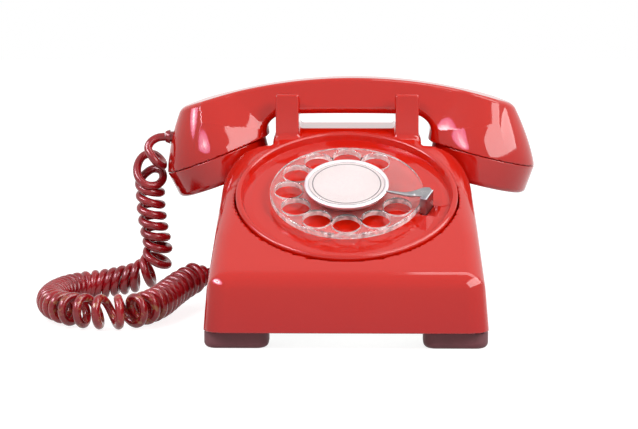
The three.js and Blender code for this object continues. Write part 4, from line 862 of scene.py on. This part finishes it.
# %% [markdown]
# ## The dial
# A dished ring with a raised rounded lip fills the well. Above it turns the clear
# wheel: a flat plate of cast acrylic, 3.7 mm thick, with polished rounded edges
# that catch the light. A chromed bezel in the middle holds the blank card. The
# cast stop rises from a slot in the ring and bends over the wheel's edge.

# %% Finger stop
# A folded steel tongue: two walls meet in a sharp corner that faces the hand, a
# flat top joins them, and a slim arm reaches over the wheel to the bezel.
STOP_CORNER, STOP_LEFT, STOP_RIGHT = (42.3, -14.6), (39.7, -13.5), (46, -6.4)


def wall_between(u, v, start, end, half):
    """Distance to a wall of one thickness that stands on a straight line."""
    along, aside = end[0] - start[0], end[1] - start[1]
    t = np.clip(((u - start[0]) * along + (v - start[1]) * aside) / (along ** 2 + aside ** 2), 0, 1)
    return np.hypot(u - start[0] - t * along, v - start[1] - t * aside) - half


def inside_corners(u, v, corners):
    """Distance inside straight sides that turn one way round the corners."""
    middle = np.mean(corners, axis=0)
    inside = None
    for a, b in zip(corners, corners[1:] + corners[:1]):
        side = (b[1] - a[1], a[0] - b[0])
        if side[0] * (middle[0] - a[0]) + side[1] * (middle[1] - a[1]) > 0:
            side = (-side[0], -side[1])
        plane = half_plane(u, v, a, side)
        inside = plane if inside is None else np.maximum(inside, plane)
    return inside


def stop_field(x, y, z, grow=0):
    up, height = dial_space(y, z)
    walls = np.minimum(
        wall_between(x, up, STOP_LEFT, STOP_CORNER, 0.55 + grow),
        wall_between(x, up, STOP_CORNER, STOP_RIGHT, 0.55 + grow))
    walls = both(walls, np.maximum(height - 4.1, -8.4 - height), 0.3)
    if grow:
        return walls
    blade = inside_corners(
        x, up, [(33, -8.6), (41.7, -3.7), (44.6, -3.8), (46, -6.4), (43, -12.4), (33, -11.6)])
    tongue = inside_corners(x, up, [(39.5, -8), (46, -6.4), (42.3, -14.9), (39.6, -12)])
    top = both(np.minimum(blade, tongue), np.abs(height - 3.7) - 0.6, 0.35)
    t = np.clip((x - 21.4) / 12.6, 0, 1)
    across = np.hypot(x - np.clip(x, 21.4, 35), up + 9.4 + 0.8 * t) - 0.55 - t
    arm = both(across, np.abs(height - 3.8 - 1.5 * (1 - t) ** 1.5) - 0.6, 0.4)
    return either(either(arm, top, 0.8), walls, 0.4)


STOP_GRID = (
    graded(19.5, 48, 0.45, 0.45, []), graded(-55.5, -36, 0.45, 0.45, []), graded(58, 80, 0.45, 0.45, []))
stop = moulding("finger_stop_casting", stop_field, STOP_GRID, 0.6)
slot = moulding("slot", lambda x, y, z: stop_field(x, y, z, 0.4), STOP_GRID, 0.6)

# %% Number ring
ring_outline = rounded_loop([
    (13, -8, 0.2), (45, -8, 0), (55.4, -4.9, 0), (58, -7, 0.3), (60.1, -7, 0.3), (60.1, -1.35, 1.5),
    (57.2, -1.2, 1.3), (55.4, -6, 1.2), (44, -6.2, 3), (13, -6.2, 0.2)], 7)
ring = turned("dial_ring", ring_outline, 192, on_dial)
ring = carved(ring, slot)
finished(ring, housing_red, "root", "red_plastic", "number_ring")

# %% Finger wheel
# A filled flat curve with ten holes, thickened and rounded, then kept as a mesh.
# The rounding leaves every face either exactly flat or on a known arc, so true
# normals are computed rather than guessed.
WHEEL_R, WHEEL_THICK, HOLE_R, HOLE_RING_R, EDGE_R = 41.5, 3.7, 7.5, 31.3, 0.9
HOLES = [math.radians(60 + 30 * i) for i in range(10)]
ROUNDS = [(0, 0, WHEEL_R, 1), (0, 0, 3.3, -1)] + [
    (HOLE_RING_R * math.cos(a), HOLE_RING_R * math.sin(a), HOLE_R, -1) for a in HOLES]


def finger_wheel():
    curve = bpy.data.curves.new("finger_wheel", "CURVE")
    curve.dimensions = "2D"
    curve.fill_mode = "BOTH"
    curve.extrude = (WHEEL_THICK / 2 - EDGE_R) * MM
    curve.bevel_depth = EDGE_R * MM
    curve.bevel_resolution = 4
    for cx, cy, r, way in ROUNDS:
        sides = 216 if r > 20 else 72
        run = curve.splines.new("POLY")
        run.points.add(sides - 1)
        run.use_cyclic_u = True
        for k in range(sides):
            a = math.tau * k / sides
            reach = (r - way * EDGE_R) * MM
            run.points[k].co = (cx * MM + reach * math.cos(a), cy * MM + reach * math.sin(a), 0, 1)
    drawn = linked("finger_wheel_curve", curve)
    mesh = evaluated_mesh(drawn)
    bpy.data.objects.remove(drawn)
    shape = bmesh.new()
    shape.from_mesh(mesh)
    bmesh.ops.remove_doubles(shape, verts=shape.verts, dist=2e-6)
    bmesh.ops.recalc_face_normals(shape, faces=shape.faces)
    points = np.array([v.co for v in shape.verts]) / MM
    faces = [tuple(v.index for v in f.verts) for f in shape.faces]
    open_edges = sum(not e.is_manifold for e in shape.edges)
    shape.free()
    high = WHEEL_THICK / 2 - EDGE_R
    lift = np.clip((np.abs(points[:, 2]) - high) / EDGE_R, 0, 1) * np.sign(points[:, 2])
    best = np.full(len(points), 1e9)
    out = np.zeros((len(points), 2))
    for cx, cy, r, way in ROUNDS:
        spoke = points[:, :2] - (cx, cy)
        reach = np.linalg.norm(spoke, axis=1)
        near = np.abs(reach - r) < best
        best[near] = np.abs(reach - r)[near]
        out[near] = (way * spoke / reach[:, None])[near]
    normals = np.column_stack((out * np.sqrt(1 - lift ** 2)[:, None], lift))
    turn = np.array(((1, 0, 0), (0, TILT_COS, -TILT_SIN), (0, TILT_SIN, TILT_COS)))
    placed = on_dial(points - (0, 0, WHEEL_THICK / 2))
    print("wheel: open edges", open_edges)
    return piece("clear_finger_wheel", placed, faces, normals=normals @ turn.T)


wheel = finger_wheel()

# %% Bezel, card and window
bezel = turned("chromed_bezel", rounded_loop([
    (0, 0.3, 0), (20.6, 0.3, 0.3), (21.9, 1.8, 2), (23, 3.6, 0.7), (22.3, 4.5, 0.5), (21, 4.5, 0.3),
    (20.6, 4.1, 0.2), (20.6, 2.7, 0), (0, 2.7, 0)], 6), 144, on_dial)
card_outline = rounded_loop([(0, 3, 0), (20.5, 3, 0.1), (20.5, 3.6, 0.1), (0, 3.6, 0)], 3)
card = turned("number_card_disc", card_outline, 96, on_dial)
window = turned("card_window_dome", rounded_loop([
    (0, 3.9, 0), (20.5, 3.9, 0.1), (20.5, 4.2, 0.15), (12, 4.85, 20), (0, 5.1, 0)], 6), 96, on_dial)

# %% [markdown]
# ## The other finishes
# Each is named for what the real part is made of. Inner metal parts get theirs
# too, because the assembly can be opened up.

# %% Clear acrylic
# Cast PMMA, handled for years: polished, with faint smudges. The wheel's sawn
# walls were only flame polished, so they scatter more light than its faces.
def clear_acrylic(name, smudge=0.05, haze=0.0, wall_haze=0.0):
    material, tree = blank(name)
    place = add_node(tree, "ShaderNodeTexCoord").outputs["Object"]
    cloud = add_node(tree, "ShaderNodeTexNoise", {"Vector": place, "Scale": scale_of(8.333), "Detail": 3})
    gloss = add_node(tree, "ShaderNodeMapRange", {
        "Value": cloud.outputs[0], "From Min": 0.45, "From Max": 0.7, "To Min": 0.0, "To Max": smudge})
    passed = 1.0
    if wall_haze:
        facing = add_node(tree, "ShaderNodeNewGeometry").outputs["Normal"]
        upright = add_node(tree, "ShaderNodeVectorMath", {
            0: facing, 1: (0, -TILT_SIN, TILT_COS)}, operation="DOT_PRODUCT").outputs["Value"]
        level = add_node(tree, "ShaderNodeMath", {0: upright}, operation="ABSOLUTE")
        streak = add_node(tree, "ShaderNodeTexNoise", {
            "Vector": place, "Scale": scale_of(4.762), "Detail": 2})
        cut = add_node(tree, "ShaderNodeMapRange", {
            "Value": streak.outputs[0], "From Min": 0.4, "From Max": 0.6,
            "To Min": 1 - 1.5 * wall_haze, "To Max": 1 - 0.5 * wall_haze})
        passed = add_node(tree, "ShaderNodeMapRange", {
            "Value": level.outputs[0], "From Min": 0.2, "From Max": 0.8,
            "To Min": cut.outputs[0], "To Max": 1 - haze}).outputs[0]
    shaded(tree, Base_Color=colour("#FFFBFA"), Roughness=gloss.outputs[0], IOR=1.49,
           Transmission_Weight=passed)
    return material


wheel_acrylic = clear_acrylic("polished_cast_acrylic", 0.05, 0.03, 0.6)
window_acrylic = clear_acrylic("card_window_acrylic", 0.02)

# %% Blank card
# Uncoated white card with short fibres and one thin printed circle near its edge.
def blank_card():
    material, tree = blank("uncoated_white_card")
    place = add_node(tree, "ShaderNodeTexCoord").outputs["Object"]
    spoke = add_node(tree, "ShaderNodeVectorMath", {
        0: place, 1: (0, DIAL_Y * MM, DIAL_Z * MM)}, operation="SUBTRACT")
    across = add_node(tree, "ShaderNodeVectorMath", {
        0: spoke.outputs[0], 1: (0, -TILT_SIN, TILT_COS)}, operation="CROSS_PRODUCT")
    reach = add_node(
        tree, "ShaderNodeVectorMath", {0: across.outputs[0]}, operation="LENGTH").outputs["Value"]
    off = add_node(tree, "ShaderNodeMath", {0: reach, 1: 18.3 * MM}, operation="SUBTRACT")
    size = add_node(tree, "ShaderNodeMath", {0: off.outputs[0]}, operation="ABSOLUTE")
    line = add_node(tree, "ShaderNodeMath", {0: size.outputs[0], 1: 0.3 * MM}, operation="LESS_THAN")
    fibre = add_node(tree, "ShaderNodeTexNoise", {"Vector": place, "Scale": scale_of(1.111), "Detail": 5})
    paper = ramp(tree, fibre.outputs[0], [(0.35, colour("#F2ECEC")), (0.7, colour("#F6F2F0"))])
    tint = add_node(tree, "ShaderNodeMix", {
        "Factor": line.outputs[0], "A": paper, "B": colour("#6E666A")}, data_type="RGBA")
    bump = add_node(tree, "ShaderNodeBump", {
        "Strength": 0.2, "Distance": 0.00005, "Height": fibre.outputs[0]})
    shaded(tree, Base_Color=tint.outputs["Result"], Roughness=0.75, Normal=bump.outputs[0])
    return material


card_finish = blank_card()

# %% Metals
# Plated, cast and cut metals differ by colour, by gloss and by how streaky the
# gloss is; wear shows as duller, slightly darker patches.
def metal(name, bright, dull, gloss, scale=60, stretch=(1, 1, 1), bump_depth=0.00002):
    material, tree = blank(name)
    place = add_node(tree, "ShaderNodeTexCoord").outputs["Object"]
    grain_place = add_node(tree, "ShaderNodeMapping", {"Vector": place, "Scale": stretch})
    cloud = add_node(tree, "ShaderNodeTexNoise", {"Vector": place, "Scale": scale, "Detail": 4})
    grain = add_node(tree, "ShaderNodeTexNoise", {
        "Vector": grain_place.outputs[0], "Scale": scale * 14, "Detail": 3})
    tint = ramp(tree, cloud.outputs[0], [(0.35, colour(dull)), (0.65, colour(bright))])
    rough = add_node(tree, "ShaderNodeMapRange", {
        "Value": cloud.outputs[0], "From Min": 0.3, "From Max": 0.7, "To Min": gloss[1], "To Max": gloss[0]})
    bump = add_node(tree, "ShaderNodeBump", {
        "Strength": 0.3, "Distance": bump_depth, "Height": grain.outputs[0]})
    shaded(tree, Base_Color=tint, Metallic=1.0, Roughness=rough.outputs[0], Normal=bump.outputs[0])
    return material


chrome = metal("satin_chrome_plate", "#F4F0F2", "#E2DCE0", (0.3, 0.42), 40)
stop_steel = metal("cast_nickel_steel", "#A9A7A8", "#86858A", (0.24, 0.36), 120)
zinc_steel = metal("zinc_plated_steel", "#C9CBC6", "#A8ABA8", (0.3, 0.46), 45, (1, 8, 1))
brass = metal("cut_brass", "#D8B568", "#B08D48", (0.22, 0.4), 55, (1, 1, 6))

# %% Rubber and black mouldings
def dark_moulding(name, high, low, gloss, bump_depth, scale=220):
    material, tree = blank(name)
    place = add_node(tree, "ShaderNodeTexCoord").outputs["Object"]
    cloud = add_node(tree, "ShaderNodeTexNoise", {"Vector": place, "Scale": scale_of(20), "Detail": 4})
    grain = add_node(tree, "ShaderNodeTexNoise", {"Vector": place, "Scale": scale * 5, "Detail": 2})
    tint = ramp(tree, cloud.outputs[0], [(0.35, colour(low)), (0.7, colour(high))])
    rough = add_node(tree, "ShaderNodeMapRange", {
        "Value": cloud.outputs[0], "From Min": 0.3, "From Max": 0.7, "To Min": gloss[0], "To Max": gloss[1]})
    bump = add_node(tree, "ShaderNodeBump", {
        "Strength": 0.35, "Distance": bump_depth, "Height": grain.outputs[0]})
    shaded(tree, Base_Color=tint, Roughness=rough.outputs[0], Normal=bump.outputs[0])
    return material


foot_rubber = dark_moulding("moulded_dark_rubber", "#844A50", "#66343A", (0.5, 0.68), 0.00008)
phenolic = dark_moulding("black_phenolic", "#262223", "#151314", (0.28, 0.45), 0.00003)
insulator = dark_moulding("laminated_paper_insulator", "#7A4C2E", "#5E361F", (0.4, 0.55), 0.00004, 90)

# %% Dress the dial
finished(stop, stop_steel, "root", "stop_steel", "finger_stop")
finished(wheel, wheel_acrylic, "finger_dial", "clear_plastic", "finger_wheel")
finished(bezel, chrome, "finger_dial", "chromed_brass", "card_bezel")
finished(card, card_finish, "finger_dial", "card", "number_card")
finished(window, window_acrylic, "finger_dial", "clear_plastic", "card_window")

# %% [markdown]
# ## Small parts with softened edges
# The bushing, grommet and volume wheel keep the frame's shapes, but no real edge
# is sharp enough to show no light. Each is copied, its facets are joined and its
# edges are rounded. The feet are moulded afresh, because their rounded lower edge
# shows most of all against the floor.

# %% Softened copies
def softened(node, name, width, finish, body, slot, steps=3, angle=30, facet=1):
    source = frame["nodes"][node]
    made = linked(name, source.data.copy())
    made.matrix_world = source.matrix_world
    shape = bmesh.new()
    shape.from_mesh(made.data)
    bmesh.ops.remove_doubles(shape, verts=shape.verts, dist=2e-6)
    bmesh.ops.dissolve_limit(
        shape, angle_limit=math.radians(facet), verts=shape.verts, edges=shape.edges)
    shape.to_mesh(made.data)
    shape.free()
    edge = made.modifiers.new("rounded", "BEVEL")
    edge.width, edge.segments, edge.limit_method = width * MM, steps, "ANGLE"
    edge.angle_limit = math.radians(angle)
    edge.harden_normals = True
    made.data.shade_smooth()
    mesh = evaluated_mesh(made)
    made.modifiers.clear()
    made.data = mesh
    return finished(made, finish, body, slot, node)


softened("cord_grommet", "cord_grommet_moulding", 0.4, phenolic, "root", "black_moulding")
softened("cord_bushing", "cord_bushing_moulding", 0.4, cord_finish, "handset", "cord_vinyl")
softened("volume_wheel", "volume_wheel_moulding", 0.25, phenolic, "volume_body", "black_moulding", 2)

# %% Rubber feet
# Moulded feet with a well rounded lower edge, and a collar up to the base plate.
def foot_field(x, y, z):
    across, along = np.abs(x) - 16.85, np.abs(y) - 11
    block = np.maximum(both(both(across, along, 7), -z, 3), both(both(across, along, 7), z - 8.8, 0.6))
    collar = np.maximum(np.hypot(x, y) - 8, np.maximum(z - 11.3, 2 - z))
    return np.minimum(block, collar)


FOOT_X, FOOT_Y = 56.85, 89.6
FOOT_GRID = (
    graded(-17.7, 17.7, 0.8, 0.8, []), graded(-11.8, 11.8, 0.8, 0.8, []), graded(-0.7, 12.2, 0.7, 0.7, []))
for side, x in (("left", -FOOT_X), ("right", FOOT_X)):
    for end, y in (("front", -FOOT_Y), ("rear", FOOT_Y)):
        node = "foot_" + end + "_" + side
        foot = moulding("rubber_" + node, foot_field, FOOT_GRID, 0.8, (x, y, 0))
        finished(foot, foot_rubber, "root", "foot_rubber", node)

# %% Finishes for the frame's own pieces
FINISHES = {
    "red_plastic": housing_red, "clear_plastic": window_acrylic, "card": card_finish,
    "chromed_brass": chrome, "stop_steel": stop_steel, "cord_vinyl": cord_finish,
    "foot_rubber": foot_rubber, "black_moulding": phenolic, "zinc_steel": zinc_steel,
    "brass": brass, "leaf_insulator": insulator}
for part in frame["record"]["subparts"]:
    node = frame["nodes"][part["node"]]
    for place in node.material_slots:
        place.material = FINISHES[part["material_slot"]]
print(len(frame["nodes"]), "nodes dressed")

# %% [markdown]
# ## Floor, background and light
# The telephone stands on a white sweep. The floor is plain pale paper, and the
# eye sees it glow up to full white, straight, in the gloss or through the clear
# plastic, so that it stays white without flooding the telephone.

# %% Which rays see the background as plain white
def white_rays(tree):
    rays = add_node(tree, "ShaderNodeLightPath").outputs
    straight = add_node(tree, "ShaderNodeMath", {
        0: rays["Is Camera Ray"], 1: rays["Is Transmission Ray"]}, operation="MAXIMUM")
    return add_node(tree, "ShaderNodeMath", {
        0: straight.outputs[0], 1: rays["Is Glossy Ray"]}, operation="MAXIMUM").outputs[0]

# %% Floor
# Paper that the eye sees as white. A shade of the telephone stays on it where
# hardly any light gets under the base. The gloss shows the paper white too.
def white_sweep():
    material, tree = blank("white_paper_sweep")
    level = add_node(tree, "ShaderNodeMath", {0: white_rays(tree), 1: 0.85}, operation="MULTIPLY")
    paper = add_node(tree, "ShaderNodeBsdfDiffuse", {"Color": colour("#B0B0B0")})
    glow = add_node(tree, "ShaderNodeEmission", {"Color": (1, 1, 1, 1), "Strength": level.outputs[0]})
    total = add_node(tree, "ShaderNodeAddShader", {0: paper.outputs[0], 1: glow.outputs[0]})
    add_node(tree, "ShaderNodeOutputMaterial", {"Surface": total.outputs[0]})
    return material


floor_points = [(-2500, -2500, 0), (2500, -2500, 0), (2500, 2500, 0), (-2500, 2500, 0)]
floor = piece("floor", floor_points, [(0, 1, 2, 3)])
floor.data.materials.append(white_sweep())

# %% World
# White all round for the eye, in the gloss and through the clear plastic. The
# soft light that it sheds comes more from the back than from behind the camera.
world = bpy.data.worlds.new("studio")
bpy.context.scene.world = world
world.use_nodes = True
tree = world.node_tree
tree.nodes.clear()
facing = add_node(tree, "ShaderNodeTexCoord").outputs["Generated"]
back = add_node(tree, "ShaderNodeSeparateXYZ", {0: facing}).outputs["Y"]
soft = add_node(tree, "ShaderNodeMapRange", {
    "Value": back, "From Min": -0.6, "From Max": 0.5, "To Min": 0.32, "To Max": 0.95}).outputs[0]
level = add_node(tree, "ShaderNodeMix", {"Factor": white_rays(tree), "A": soft, "B": 1.0})
sky = add_node(tree, "ShaderNodeBackground", {"Color": (1, 1, 1, 1), "Strength": level.outputs[0]})
add_node(tree, "ShaderNodeOutputWorld", {"Surface": sky.outputs[0]})

# %% Lamps
# Two plain lamps give the light. The shapes that shine in the gloss are an
# umbrella on the left and a large softbox on the right, with a panel above.
AIM = Vector((0, 0, 0.07))


def lamp(name, turn, height, distance, size, radiance, glossy, shape="RECTANGLE"):
    turn, height = math.radians(turn), math.radians(height)
    place = AIM + distance * Vector((
        math.sin(turn) * math.cos(height), -math.cos(turn) * math.cos(height), math.sin(height)))
    data = bpy.data.lights.new(name, "AREA")
    data.shape = shape
    data.size, data.size_y = size
    area = size[0] * size[1] * (math.pi / 4 if shape == "ELLIPSE" else 1)
    data.energy = radiance * area * math.pi
    made = bpy.data.objects.new(name, data)
    made.location = place
    made.rotation_euler = (AIM - place).to_track_quat("-Z", "Y").to_euler()
    made.visible_diffuse = not glossy
    made.visible_glossy = glossy
    made.visible_transmission = not glossy
    bpy.context.scene.collection.objects.link(made)
    return made


lamp("key", -35, 42, 2.2, (0.5, 0.5), 16, False)
lamp("fill", 50, 36, 1.9, (0.5, 0.7), 13, False)
umbrella = lamp("umbrella", -61, 37, 1.3, (1.3, 0.5), 15, True, "ELLIPSE")
lamp("softbox", 60, 38, 1.3, (1.75, 0.72), 6, True)
lamp("overhead_panel", 90, 66, 1.05, (0.4, 0.8), 3.5, True)

# %% The umbrella's shine
# The flash head stands dark in the middle of the umbrella, the cloth is
# brightest round it, and the folds between the ribs make it uneven.
umbrella.data.use_nodes = True
tree = umbrella.data.node_tree
tree.nodes.clear()
spot = add_node(tree, "ShaderNodeNewGeometry").outputs["Parametric"]
spoke = add_node(tree, "ShaderNodeVectorMath", {0: spot, 1: (0.5, 0.5, 0)}, operation="SUBTRACT")
reach = add_node(tree, "ShaderNodeVectorMath", {0: spoke.outputs[0]}, operation="LENGTH").outputs["Value"]
folds = add_node(tree, "ShaderNodeTexNoise", {"Vector": spot, "Scale": 9, "Detail": 3})
uneven = add_node(tree, "ShaderNodeMath", {0: folds.outputs[0], 1: 0.22, 2: -0.11}, operation="MULTIPLY_ADD")
place = add_node(tree, "ShaderNodeMath", {0: reach, 1: uneven.outputs[0]}, operation="ADD")
shine = ramp(tree, place.outputs[0], [
    (0.08, (0.1, 0.03, 0.05, 1)), (0.14, (1.6, 1.6, 1.6, 1)), (0.26, (1.4, 1.2, 1.3, 1)),
    (0.36, (0.6, 0.36, 0.5, 1)), (0.5, (0.4, 0.14, 0.3, 1))])
glow = add_node(tree, "ShaderNodeEmission", {"Color": shine, "Strength": 1.0})
add_node(tree, "ShaderNodeOutputLight", {"Surface": glow.outputs[0]})
